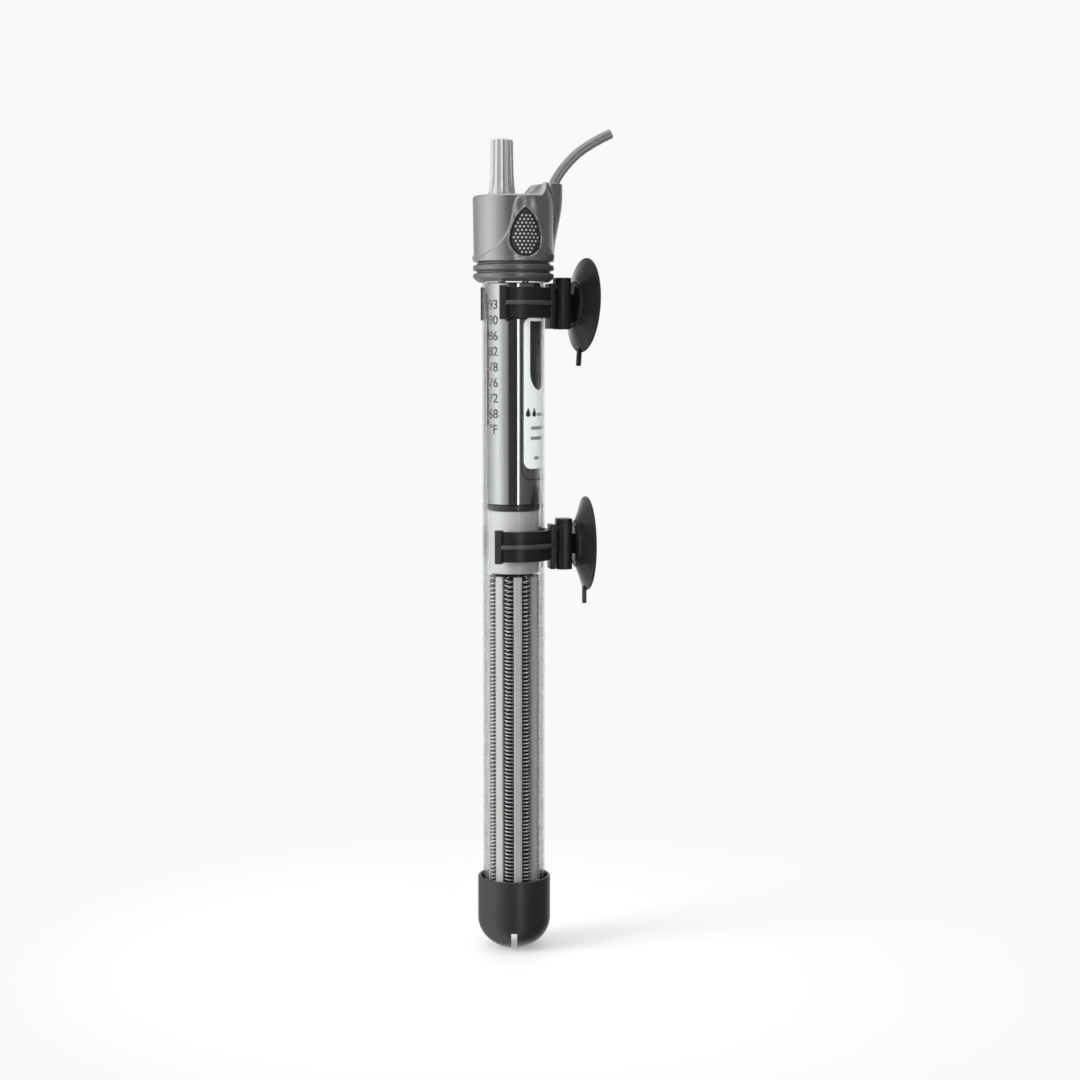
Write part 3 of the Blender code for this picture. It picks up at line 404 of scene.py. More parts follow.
def extruded(outline, low, high):
    """An (x, y) outline between two heights."""
    count = len(outline)
    points = [(x, y, z) for z in (low, high) for x, y in outline]
    faces = [tuple(range(count))[::-1], tuple(range(count, 2 * count))]
    faces += [(i, (i + 1) % count, count + (i + 1) % count, count + i) for i in range(count)]
    return points, faces


def block(low, high):
    (x0, y0, z0), (x1, y1, z1) = low, high
    return extruded([(x0, y0), (x1, y0), (x1, y1), (x0, y1)], z0, z1)


def sector(inner, outer, start, end, low, high, steps=48):
    """A curved bar about the axis, between two radii, angles and heights."""
    outside, inside = (ellipse(0.0, 0.0, r, r, start, end - start, steps) for r in (outer, inner))
    return extruded(outside + inside[::-1], low, high)


def turned_shape(shape, matrix):
    points, faces = shape
    return [tuple(matrix @ Vector(point)) for point in points], faces


def spun(shape, angle):
    return turned_shape(shape, Matrix.Rotation(angle, 3, "Z"))


# Making pieces


def mesh_object(name, shape, finish):
    """An object from (points, faces) in millimetres from the axis, with its faces facing out."""
    points, faces = shape
    data = bpy.data.meshes.new(name)
    data.from_pydata([at(*point) for point in points], [], faces)
    bm = bmesh.new()
    bm.from_mesh(data)
    bmesh.ops.recalc_face_normals(bm, faces=bm.faces)
    bm.to_mesh(data)
    bm.free()
    data.materials.append(FINISH[finish])
    return linked(name, data)


def linked(name, data):
    """A new object in the scene."""
    made = bpy.data.objects.new(name, data)
    bpy.context.scene.collection.objects.link(made)
    return made


def evaluated(obj):
    """The mesh that obj's modifiers or curve make."""
    graph = bpy.context.evaluated_depsgraph_get()
    return bpy.data.meshes.new_from_object(obj.evaluated_get(graph), depsgraph=graph)


def settle(obj):
    """Applies obj's modifiers."""
    data = evaluated(obj)
    obj.modifiers.clear()
    obj.data = data


def bevelled(obj, width, angle=40.0, segments=3):
    bevel = obj.modifiers.new("edges", "BEVEL")
    bevel.width = width * MM
    bevel.segments = segments
    bevel.limit_method = "ANGLE"
    bevel.angle_limit = radians(angle)
    settle(obj)
    return obj


def carved(name, shape, finish, *cutters):
    """An object with the cutters' shapes cut out of it."""
    obj = mesh_object(name, shape, finish)
    tools = [mesh_object("cutter", cutter, finish) for cutter in cutters]
    for tool in tools:
        step = obj.modifiers.new("carve", "BOOLEAN")
        step.operation = "DIFFERENCE"
        step.solver = "EXACT"
        step.object = tool
    settle(obj)
    for tool in tools:
        bpy.data.objects.remove(tool)
    return obj


def finished(obj, stands_for=(), crease=38.0, body="heater"):
    """Smooths obj between its sharp edges and puts it on its body."""
    obj.data.shade_smooth()
    obj.data.set_sharp_from_angle(angle=radians(crease))
    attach(obj, body)
    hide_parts(*stands_for)
    return obj


def piece(name, shape, finish, stands_for=(), crease=38.0, body="heater"):
    return finished(mesh_object(name, shape, finish), stands_for, crease, body)


# Tube and foot


def dome(radius, height, middle, steps=24):
    """(radius, z) points of a rounded end, from its lowest point up to its full width."""
    angles = [pi / 2 * i / steps for i in range(steps + 1)]
    return [(radius * sin(a) if i else 0.0, middle - height * cos(a)) for i, a in enumerate(angles)]


def glass_tube():
    middle = TUBE_BOTTOM + DOME
    lip = WALL / 2
    profile = dome(TUBE_R, DOME, middle) + ellipse(TUBE_R - lip, TUBE_TOP - lip, lip, lip, 0.0, pi, 8)
    profile += reversed(dome(TUBE_R - WALL, DOME - WALL, middle))
    piece("clear_tube", lathe(profile), "clear_glass", ["glass_tube"])


def foot_guard():
    """The black guard, with two slots across its closed end and four ribs that grip the tube."""
    flat = 4.5
    dome_height = 12.0
    slot_half = 1.2
    slot_top = 8.2
    turn = radians(-18.0)
    reach = FOOT_R * 1.5
    lip = WALL / 2

    def side(radius, height, base):
        start = acos(flat / radius)
        return ellipse(0.0, base + height, radius, -height / sin(start), start, -start, 20)

    profile = [(0.0, 0.0), *side(FOOT_R, dome_height, 0.0)]
    profile += ellipse(FOOT_R - lip, FOOT_TOP - lip, lip, lip, 0.0, pi, 6)
    profile += [*reversed(side(FOOT_R - WALL, dome_height - WALL, WALL)), (0.0, WALL)]
    bar = block((-reach, -slot_half, -2.0), (reach, slot_half, slot_top))
    slots = [spun(bar, turn + i * pi / 2) for i in range(2)]
    foot = carved("slotted_foot", lathe(profile, steps=96), "black_plastic", *slots)
    finished(bevelled(foot, 0.22, angle=50.0, segments=2), ["foot_guard"], body="foot")
    rib = block((TUBE_R + 0.3, -0.6, dome_height + 2.0), (FOOT_R - WALL + 0.4, 0.6, FOOT_TOP - 1.0))
    ribs = [spun(rib, turn + pi / 4 + i * pi / 2) for i in range(4)]
    grips = mesh_object("foot_ribs", merged(*ribs), "black_plastic")
    finished(bevelled(grips, 0.2), body="foot")


# Heating core


def groove_place(index, radius=COIL_CENTRE_R):
    angle = GROOVE_START + tau * index / GROOVES
    return radius * cos(angle), radius * sin(angle)


def core_outline():
    """A round section with round-bottomed grooves, softened where they open."""
    half = asin(MOUTH_HALF_WIDTH / CORE_R)
    outline = []
    for k in range(GROOVES):
        middle = GROOVE_START + tau * k / GROOVES
        outline += ellipse(*groove_place(k), GROOVE_R, GROOVE_R, middle - pi / 2, -pi, 16)
        outline += ellipse(0.0, 0.0, CORE_R, CORE_R, middle + half, tau / GROOVES - 2 * half, 12)
    for _ in range(2):
        around = zip(outline[-1:] + outline[:-1], outline, outline[1:] + outline[:1])
        outline = [((a[0] + 2 * b[0] + c[0]) / 4, (a[1] + 2 * b[1] + c[1]) / 4) for a, b, c in around]
    return outline


def ceramic_core():
    outline = core_outline()
    edge = 0.35
    levels = ((CORE_BOTTOM, edge), (CORE_BOTTOM + edge, 0.0), (CORE_TOP - edge, 0.0), (CORE_TOP, edge))
    rows = []
    for z, inset in levels:
        size = 1 - inset / CORE_R
        rows.append([(x * size, y * size, z) for x, y in outline])
    shape = skin(rows, (0.0, 0.0, CORE_BOTTOM), (0.0, 0.0, CORE_TOP))
    piece("grooved_core", shape, "ceramic", ["ceramic_core"])


def heating_coil():
    """One fine coil, down the first groove and up the next, with its wire bare across the core's ends."""
    turn_steps = 12
    low, high = CORE_BOTTOM - 0.2, CORE_TOP + 0.2
    ramp_length = 1.2
    path = []
    for k in range(GROOVES):
        start, end = (high, low) if k % 2 == 0 else (low, high)
        x, y = groove_place(k)
        length = high - low
        z = 0.0
        phase = 0.0
        while z < length:
            size = COIL_R * min(1.0, z / ramp_length, (length - z) / ramp_length)
            height = start + (end - start) * z / length
            uneven = noise.noise(Vector((k * 7.1, 0.0, height * 0.21)))
            loose = 0.55 * exp(-(high - height) / 6.0)
            path.append((x + size * cos(phase), y + size * sin(phase), height))
            z += COIL_PITCH / turn_steps * (1.0 + 0.22 * uneven + loose)
            phase += tau / turn_steps
        if k < GROOVES - 1:
            next_x, next_y = groove_place(k + 1)
            for i in range(1, 6):
                t = i / 6
                path.append((x + (next_x - x) * t, y + (next_y - y) * t, end))
    shape = sweep(path, circle(COIL_WIRE_R, 6))
    piece("fine_coil", shape, "resistance_wire", ["heating_coil"], crease=80.0)


def insulator_plug():
    outline = softened(post(PLUG_R, PLUG_BOTTOM, PLUG_TOP), 0.5)
    bore = post(0.8, PLUG_BOTTOM - 1, PLUG_TOP + 1)
    holes = [lathe(bore, 24, *groove_place(k)) for k in (0, GROOVES - 1)]
    plug = carved("plain_plug", lathe(outline), "plug_ceramic", *holes)
    finished(plug, ["insulator_plug"])


def sleeve_end_ring():
    corners = collar(RING_R - 1.2, RING_R, RING_BOTTOM, RING_TOP)
    shape = lathe(softened_ring(corners, 0.3), loop=True)
    piece("dark_end_ring", shape, "ring_plastic", ["sleeve_end_ring"])


# Printed sleeve and label


def wrapped(flat, faces, rims, inner, outer):
    """(angle, z) points and their faces as a thin closed solid about the axis. rims are the open edges."""
    count = len(flat)
    points = [(radius * cos(a), radius * sin(a), z) for radius in (outer, inner) for a, z in flat]
    faces += [tuple(count + i for i in reversed(face)) for face in faces]
    faces += [(a, b, b + count, a + count) for a, b in rims]
    return points, faces


def curved_patch(outline, inner, outer, max_step=radians(3.0)):
    """A flat (arc, z) outline wrapped round the axis, as a thin closed solid between two radii.

    It is cut into upright strips so that it follows the curve.
    """
    data = bpy.data.meshes.new("patch")
    bm = bmesh.new()
    bm.faces.new([bm.verts.new((arc, z, 0.0)) for arc, z in outline])
    low, high = min(outline)[0], max(outline)[0]
    count = int((high - low) / max_step)
    for i in range(1, count + 1):
        plane = (low + (high - low) * i / (count + 1), 0.0, 0.0)
        everything = bm.verts[:] + bm.edges[:] + bm.faces[:]
        bmesh.ops.bisect_plane(bm, geom=everything, plane_co=plane, plane_no=(1.0, 0.0, 0.0))
    bmesh.ops.triangulate(bm, faces=[face for face in bm.faces if len(face.verts) > 4])
    bm.verts.index_update()
    flat = [(vert.co.x, vert.co.y) for vert in bm.verts]
    faces = [tuple(vert.index for vert in face.verts) for face in bm.faces]
    rims = [tuple(vert.index for vert in edge.verts) for edge in bm.edges if edge.is_boundary]
    bm.free()
    bpy.data.meshes.remove(data)
    return wrapped(flat, faces, rims, inner, outer)


def rounded_box(arc_low, arc_high, low, high, radius, at_radius, steps=8):
    """A rectangle with round corners, in (angle, z), on a cylinder of at_radius."""
    turn = radius / at_radius
    left, right, bottom, top = arc_low + turn, arc_high - turn, low + radius, high - radius
    outline = []
    for i, (x, z) in enumerate(((right, top), (left, top), (left, bottom), (right, bottom))):
        outline += ellipse(x, z, turn, radius, i * pi / 2, pi / 2, steps)
    return outline


def scale_sleeve():
    """The silver sleeve, with a tall slot at -X for the pointer's tab."""
    inner = SLEEVE_R - SLEEVE_WALL
    half = asin(WINDOW_HALF / SLEEVE_R)
    corners = collar(inner, SLEEVE_R, SLEEVE_BOTTOM, SLEEVE_TOP)
    wall = lathe(softened_ring(corners, 0.12, 2), 160, loop=True)
    outline = rounded_box(pi - half, pi + half, WINDOW_BOTTOM, WINDOW_TOP, 1.2, SLEEVE_R)
    window = curved_patch(outline, inner - 1.0, SLEEVE_R + 1.0)
    sleeve = carved("silver_sleeve", wall, "silver_film", window)
    finished(sleeve, ["scale_sleeve"], crease=30.0)


def text_shape(text, height, middle_angle, z, radius, thickness):
    """Upright text wrapped round the axis, as a thin closed relief."""
    curve = bpy.data.curves.new("figures", "FONT")
    curve.body = text
    curve.size = height / 0.72
    curve.align_x = "CENTER"
    curve.resolution_u = 3
    curve.offset = 0.05
    holder = linked("figures", curve)
    data = evaluated(holder)
    flat = [(middle_angle + vert.co.x / radius, z + vert.co.y - height / 2) for vert in data.vertices]
    faces = [tuple(face.vertices) for face in data.polygons]
    uses = {}
    for face in faces:
        for a, b in zip(face, face[1:] + face[:1]):
            uses.setdefault(frozenset((a, b)), []).append((a, b))
    rims = [found[0] for found in uses.values() if len(found) == 1]
    bpy.data.objects.remove(holder)
    bpy.data.curves.remove(curve)
    bpy.data.meshes.remove(data)
    return wrapped(flat, faces, rims, radius - INK_SINK, radius + thickness)


def scale_figures():
    """The two columns of the temperature scale, one on each side of the pointer's window."""
    height = 3.7
    thickness = 0.04
    fahrenheit = ("93", "90", "86", "82", "78", "76", "72", "68")
    celsius = ("34", "32", "30", "28", "26", "24", "22", "20")
    top, pitch = 258.6, 6.12
    shapes = []
    for side, figures, unit in ((1, fahrenheit, "\N{DEGREE SIGN}F"), (-1, celsius, "\N{DEGREE SIGN}C")):
        column = pi + side * radians(24.0)
        for i, figure in enumerate((*figures, unit)):
            z = top - pitch * i
            shapes.append(text_shape(figure, height, column, z, SLEEVE_R, thickness))
        for i in range(len(figures) * 2 - 1):
            z = top - pitch * i / 2
            near = pi + side * (asin(WINDOW_HALF / SLEEVE_R) + 0.012)
            low, high = sorted((near, near + side * (0.030 if i % 2 else 0.045)))
            tick = [(low, z - 0.15), (high, z - 0.15), (high, z + 0.15), (low, z + 0.15)]
            shapes.append(curved_patch(tick, SLEEVE_R - INK_SINK, SLEEVE_R + thickness))
    piece("scale_print", merged(*shapes), "ink")


def rating_label():
    """A white label with a border and plain generic graphics: a shield, two drops and some bars."""
    start = -LABEL_HALF_ANGLE
    outline = rounded_box(start, LABEL_HALF_ANGLE, LABEL_BOTTOM, LABEL_TOP, 3.0, LABEL_R)
    label = curved_patch(outline, LABEL_R - 0.2, LABEL_R - 0.05)
    piece("white_label", label, "label_film", ["rating_label"], crease=30.0)
    left = start + radians(13.8)
    right = left + radians(50.0)
    low, high = 232.0, 252.0
    shield = [(left, low), (left, high), (right, high), (right, low)]
    shield += ellipse((left + right) / 2, low, (right - left) / 2, 7.0, 0.0, -pi, 12)[1:-1]
    dark = [shield]
    for x in (start + radians(9.0), start + radians(25.0)):
        drop = ellipse(x, 215.5, 1.05 / LABEL_R, 1.05, radians(150.0), radians(240.0), 12)
        dark.append([(x, 218.2), *drop])
    bars = ((34.0, 36.0, 214.7), (16.0, 46.0, 209.4), (15.0, 40.0, 205.4), (24.0, 16.0, 197.6))
    grey = []
    for offset, wide, z in bars:
        x = start + radians(offset)
        grey.append(rounded_box(x, x + radians(wide), z, z + 1.3, 0.4, LABEL_R, 3))
    for name, outlines, finish in (("label_shapes", dark, "ink"), ("label_bars", grey, "grey_ink")):
        printed = [curved_patch(outline, LABEL_R - 0.06, LABEL_R) for outline in outlines]
        piece(name, merged(*printed), finish)
    edge = LABEL_HALF_ANGLE + radians(6.5)
    line = 0.045
    band = rounded_box(-edge, edge, LABEL_BOTTOM - 4.6, LABEL_TOP + 3.0, 4.5, SLEEVE_R)
    hole = rounded_box(line - edge, edge - line, LABEL_BOTTOM - 4.1, LABEL_TOP + 2.5, 4.1, SLEEVE_R)
    whole = curved_patch(band, SLEEVE_R - 0.05, SLEEVE_R + 0.03)
    cut = curved_patch(hole, SLEEVE_R - 1.0, SLEEVE_R + 1.0)
    finished(carved("label_border", whole, "band_ink", cut))


# Collar and head


def ribbed_collar():
    inner = TUBE_R + 0.3
    groove = COLLAR_R - 1.5
    steps = (
        (14.0, 0.0), (COLLAR_R - 0.5, 1.2), (COLLAR_R, 1.8), (COLLAR_R, 3.2), (groove, 3.6),
        (groove, 4.2), (COLLAR_R, 4.6), (COLLAR_R, 6.5), (groove, 6.9),
    )
    corners = [(inner, COLLAR_BOTTOM), *((radius, COLLAR_BOTTOM + up) for radius, up in steps)]
    corners += [(groove, COLLAR_TOP), (inner, COLLAR_TOP)]
    shape = lathe(softened_ring(corners, 0.35), loop=True)
    piece("ringed_collar", shape, "dark_plastic", ["ribbed_collar"], crease=60.0)


def smooth_step(value, low, high):
    t = max(0.0, min(1.0, (value - low) / (high - low)))
    return t * t * (3 - 2 * t)


def between(value, table):
    """Linear interpolation in a table of (key, value) pairs with falling keys."""
    if value >= table[0][0]:
        return table[0][1]
    for (high, at_high), (low, at_low) in zip(table, table[1:]):
        if value >= low:
            return at_low + (at_high - at_low) * (value - low) / (high - low)
    return table[-1][1]


PANEL_HALF_WIDTHS = (
    (300.7, 0.2), (300.5, 1.8), (300.0, 3.2), (298.8, 4.2), (296.5, 4.9), (293.0, 5.5), (290.0, 6.0),
    (287.0, 7.0), (284.0, 8.8), (281.5, 11.2), (279.5, 14.0), (277.8, 17.5), (276.8, 20.5),
)


def drop_levels(steps):
    """Heights along the inlay, close together at its ends."""
    half = (INLAY_TOP - INLAY_BOTTOM) / 2
    return [INLAY_BOTTOM + half * (1 - cos(pi * i / steps)) for i in range(steps + 1)]


def drop_width(z):
    """Half the inlay's width at a height, from its round bottom to its point."""
    radius = 6.0
    centre = INLAY_BOTTOM + radius
    if z < INLAY_BOTTOM or z > INLAY_TOP:
        return 0.0
    if z <= centre:
        return sqrt(radius**2 - (centre - z) ** 2)
    t = (z - centre) / (INLAY_TOP - centre)
    return radius * (1 - t**2) ** 0.8 if t < 1 else 0.0


def drop_depth(arc, z, grow=0.0):
    """Roughly how far inside the drop's outline a point is, negative outside."""
    nearest = min(hypot(abs(arc) - drop_width(edge_z), z - edge_z) for edge_z in drop_levels(48))
    return (nearest if abs(arc) < drop_width(z) else -nearest) + grow


def head_radius(angle, z):
    """The head's outside: a slightly flared barrel, with a raised bell on each flank and the cord's boss."""
    barrel = HEAD_LOW_R + (HEAD_TOP_R - HEAD_LOW_R) * (z - HEAD_BOTTOM) / (HEAD_TOP - HEAD_BOTTOM)
    lean = max(0.0, z - (HEAD_TOP - 4.0)) / 9.4
    facing = smooth_step(cos(angle), 0.0, 0.55)
    radius = barrel - 2.6 * facing * lean**1.6
    for flank in (-pi / 2, pi / 2):
        arc = abs((angle - flank + pi) % tau - pi) * barrel
        if arc > 24.0:
            continue
        half = between(z, PANEL_HALF_WIDTHS)
        slope = (between(z - 0.3, PANEL_HALF_WIDTHS) - between(z + 0.3, PANEL_HALF_WIDTHS)) / 0.6
        step = smooth_step((half - arc) / hypot(1.0, slope), -0.1, 0.45)
        rise = 0.15 + 0.70 * smooth_step(arc, 1.0, 5.0)
        fade = 1.0 - 0.75 * smooth_step(HEAD_BOTTOM + 3.0 - z, 0.0, 3.0)
        radius += rise * step * fade * (1.0 - 0.6 * smooth_step(z, HEAD_TOP - 3.0, HEAD_TOP))
        if z < INLAY_TOP + 1.5 and arc < 8.0:
            inside = drop_depth(arc, z, 0.3)
            radius += 0.12 * exp(-(((inside + 0.45) / 0.28) ** 2))
            radius += (INLAY_FLOOR_R - radius) * smooth_step(inside, -0.15, 0.15)
    centre = BOSS_LOW_X + (BOSS_HIGH_X - BOSS_LOW_X) * smooth_step(z, BOSS_BOTTOM - 3.0, BOSS_TOP - 5.0)
    across = centre * sin(angle)
    if cos(angle) > 0 and abs(across) < BOSS_R and z > BOSS_BOTTOM:
        radius = max(radius, centre * cos(angle) + sqrt(BOSS_R**2 - across**2))
    seam_angle = radians(26.0 - 8.0 * min(1.0, (BOSS_TOP - z) / 18.0))
    seam = abs(abs(angle) - seam_angle) * radius
    radius += 0.28 * exp(-((seam / 0.32) ** 2)) * smooth_step(z, BOSS_BOTTOM, BOSS_BOTTOM + 6.0)
    return radius


def wall_height(angle):
    """How high the head's wall stands: up to the boss's top round the cord, and low elsewhere."""
    turn = abs(angle)
    return HEAD_TOP + (BOSS_TOP - HEAD_TOP) * smooth_step(-turn, -radians(66.0), -radians(34.0))


def top_height(radius, angle):
    """The head's top: flat round the knob, with a scoop that climbs between two ridges to the cord."""
    x = radius * cos(angle)
    climb = max(0.0, min(1.0, (x - 4.0) / 9.0)) ** 1.7
    ridge = (wall_height(angle) - HEAD_TOP) / (BOSS_TOP - HEAD_TOP)
    near_wall = smooth_step(radius, 10.2, 12.6)
    return HEAD_TOP + (BOSS_TOP - HEAD_TOP) * max(climb * smooth_step(ridge, 0.0, 0.5), ridge * near_wall)


def head_angles():
    """Angles round the head, close together on the two flanks where the inlays are."""
    angles = []
    turn = -pi
    while turn < pi - 1e-6:
        angles.append(turn)
        off_flank = abs(abs(turn) - pi / 2)
        turn += radians(0.8 if off_flank < radians(75.0) else 1.6)
    return angles


def head_body():
    """The head's shell as one surface, from its lower rim up its wall, over the edge and in to the middle."""
    angles = head_angles()
    low_edge = 0.45
    top_edge = 0.9
    wall_rows = 96
    bottom = HEAD_BOTTOM + low_edge
    tops = [wall_height(t) - top_edge for t in angles]
    rims = [head_radius(t, top) for t, top in zip(angles, tops)]
    rows = []

    def add_row(radii_and_heights):
        rows.append([polar(r, t, z) for t, (r, z) in zip(angles, radii_and_heights)])

    foot = [head_radius(t, bottom) for t in angles]
    for i in range(4):
        a = pi / 2 * i / 4
        add_row([(r - low_edge * (1 - sin(a)), HEAD_BOTTOM + low_edge * (1 - cos(a))) for r in foot])
    for i in range(wall_rows + 1):
        levels = [bottom + (top - bottom) * i / wall_rows for top in tops]
        add_row([(head_radius(t, z), z) for t, z in zip(angles, levels)])
    for i in range(1, 7):
        a = pi / 2 * i / 6
        add_row([(r - top_edge * (1 - cos(a)), top + top_edge * sin(a)) for r, top in zip(rims, tops)])
    for i in range(1, 25):
        inward = [(r - top_edge) * (1 - i / 25) for r in rims]
        add_row([(r, top_height(r, t)) for t, r in zip(angles, inward)])
    shape = skin(rows, (0.0, 0.0, HEAD_BOTTOM), (0.0, 0.0, HEAD_TOP))
    roof = HEAD_TOP - 3.5
    shoulder, seat, shaft_top = 281.6, HEAD_TOP - 2.4, 310.0
    socket = lathe(post(13.9, HEAD_BOTTOM - 2, shoulder)[:-1] + post(12.6, shoulder, roof)[1:], 96)
    shaft = lathe(post(1.9, roof - 1, seat)[:-1] + post(3.1, seat, shaft_top)[1:], 48, KNOB_X)
    cord_hole = sweep(cord_path()[:40], circle(CORD_R + 0.3, 32))
    gland_hole = sweep([(x, 0.0, z) for x, z in CORD_PLACES[:3:2]], circle(3.4, 32))
    head = carved("moulded_head", shape, "grey_plastic", socket, shaft, cord_hole, gland_hole)
    finished(head, ["head_body"], crease=42.0)


def grip_inlays():
    """Each inlay is a domed drop of black rubber, set with small pale dots."""
    back, face, swell = INLAY_FLOOR_R - 0.2, INLAY_FLOOR_R + 0.75, 0.12
    centre = INLAY_BOTTOM + 6.0
    outline = [(drop_width(z), z) for z in drop_levels(32)]
    outline += [(-arc, z) for arc, z in reversed(outline[1:-1])]
    sizes = [(back, 1.0), (face - 0.2, 1.0), (face, 0.975), *((face, s / 12) for s in range(11, 0, -1))]
    for name, flank in (("front", -pi / 2), ("rear", pi / 2)):
        rows = []
        for radius, size in sizes:
            out = radius + swell * (1 - size**2)
            around = [(flank + arc * size / face, centre + (z - centre) * size) for arc, z in outline]
            rows.append([polar(out, turn, z) for turn, z in around])
        pad = skin(rows, polar(back, flank, centre), polar(face + swell, flank, centre))
        piece(f"inlay_pad_{name}", pad, "inlay_rubber", [f"grip_inlay_{name}"])
        piece(f"inlay_dots_{name}", inlay_dots(flank, face + 0.08), "dot_rubber")


def inlay_dots(flank, face):
    pitch = 1.62
    dot_r = 0.46
    shapes = []
    for row in range(12):
        z = INLAY_BOTTOM + 1.1 + row * pitch * 0.87
        for column in range(-4, 5):
            arc = (column + (row % 2) / 2) * pitch
            if drop_depth(arc, z) < 0.75:
                continue
            out = Vector(polar(1.0, flank + arc / face, 0.0))
            along = UP.cross(out)
            foot = out * face + UP * z
            rows = []
            for lift, size in ((-0.15, 1.0), (0.08, 1.0), (0.24, 0.78), (0.33, 0.42)):
                middle, reach = foot + out * lift, dot_r * size
                rows.append([tuple(middle + (along * x + UP * y) * reach) for x, y in circle(1.0, 12)])
            shapes.append(skin(rows, tuple(foot - out * 0.15), tuple(foot + out * 0.36)))
    return merged(*shapes)


# Knob, spindle and cord


KNOB_FLARE = ((0.0, 1.05), (-0.4, 1.05), (-3.0, 0.62), (-7.0, 0.28), (-14.0, 0.10), (-21.6, 0.0))


def knob_row(z, inset, depth_share):
    """One level of the knob, with its 14 flutes."""
    per_flute = 12
    steps = 14 * per_flute
    outside = KNOB_R + between(KNOB_BOTTOM - z, KNOB_FLARE) - inset
    row = []
    for i in range(steps):
        across = (i % per_flute) / per_flute * 2 - 1
        depth = 0.50 * (1 - abs(across) ** 2.4) * depth_share
        row.append(polar(outside - depth, tau * i / steps, z, KNOB_X))
    return row


def adjusting_knob():
    """The tall knob: scooped flutes with narrow ridges between them, a flared foot and a domed top."""
    bore_top = 316.4
    height = KNOB_TOP - KNOB_BOTTOM
    rows = [knob_row(KNOB_BOTTOM, 0.35, 0.2), knob_row(KNOB_BOTTOM + 0.1, 0.1, 0.4)]
    for i in range(36):
        z = KNOB_BOTTOM + 0.3 + (height - 1.5) * i / 35
        rows.append(knob_row(z, 0.0, 0.55 + 0.45 * min(1.0, i / 6)))
    for i in range(1, 7):
        a = pi / 2 * i / 6
        rows.append(knob_row(KNOB_TOP - 1.2 + 0.75 * sin(a), 0.75 * (1 - cos(a)), 1.0 - 0.5 * i / 6))
    for i in range(1, 6):
        t = i / 6
        rows.append(knob_row(KNOB_TOP - 0.45 + 0.45 * (1 - (1 - t) ** 2), 0.75 + 3.4 * t, 0.5 * (1 - t)))
    shape = skin(rows, (KNOB_X, 0.0, KNOB_BOTTOM), (KNOB_X, 0.0, KNOB_TOP))
    bore = lathe(post(1.8, KNOB_BOTTOM - 1, bore_top), 32, KNOB_X)
    knob = carved("fluted_knob", shape, "knob_plastic", bore)
    finished(knob, ["adjusting_knob"], crease=50.0, body="knob")


def threaded_spindle():
    """The spindle, with the coarse thread that carries the pointer."""
    bottom, top = heights("spindle")
    radius, thread_depth, lead = 1.5, 0.22, 8.0
    angles = [tau * k / 32 for k in range(32)]
    count = int((top - bottom) / 0.5)
    rows = []
    for i in range(count + 1):
        z = bottom + (top - bottom) * i / count
        depth = thread_depth if z < SLEEVE_TOP - 1 else 0.0
        grooves = [depth * (0.5 + 0.5 * cos(4 * (a - tau * z / lead))) for a in angles]
        rows.append([polar(radius - groove, a, z, KNOB_X) for groove, a in zip(grooves, angles)])
    shape = skin(rows, (KNOB_X, 0.0, bottom), (KNOB_X, 0.0, top))
    piece("threaded_spindle", shape, "brass", ["spindle"], crease=60.0, body="knob")


CORD_PLACES = (
    (9.0, 284.0), (11.9, 292.5), (14.6, 300.4), (17.0, 306.6), (19.4, 310.6), (22.5, 314.4),
    (26.8, 318.6), (32.0, 322.2), (37.4, 325.2), (40.8, 326.8),
)


def cord_path(steps=10):
    """The cord's middle line as a smooth curve through its places."""
    knots = [Vector((x, 0.0, z)) for x, z in CORD_PLACES]
    knots = [2 * knots[0] - knots[1], *knots, 2 * knots[-1] - knots[-2]]
    path = []
    for a, b, c, d in zip(knots, knots[1:], knots[2:], knots[3:]):
        for i in range(steps):
            t = i / steps
            square = (2 * a - 5 * b + 4 * c - d) * t**2
            cube = (3 * b - a - 3 * c + d) * t**3
            path.append((2 * b + (c - a) * t + square + cube) / 2)
    path.append(knots[-2])
    return path


def power_cord():
    """A ribbed jacket, cut square at its end, where the two conductors show."""
    steps = 64
    path = cord_path()
    section = []
    for i in range(steps):
        a = tau * i / steps
        ribs = 0.03 * (0.5 - 0.5 * cos(8 * a))
        waist = 0.38 * exp(-((cos(a) / 0.24) ** 2))
        section.append(((CORD_R - ribs - waist) * cos(a), (CORD_R - ribs - waist) * sin(a)))

    def rows_of(outline):
        points, _ = sweep(path, outline)
        return [points[i * steps : (i + 1) * steps] for i in range(len(path))]

    jacket = skin(rows_of(section) + rows_of(circle(1.5, steps))[::-1], loop=True)
    piece("cord_jacket", jacket, "cord_jacket", ["power_cord"], crease=60.0)
    end, before = path[-1], path[-2]
    along = (end - before).normalized()
    side = Vector((0.0, 1.0, 0.0))
    up = along.cross(side)
    strands = []
    for middle in (-0.7, 0.7):
        for x, y in (*circle(0.22, 6), (0.0, 0.0)):
            foot = end + side * (middle + x) + up * y
            strands.append(sweep([foot - along * 1.5, foot + along * 0.02], circle(0.10, 10)))
    piece("cut_strands", merged(*strands), "copper")


# Clips and suction cups


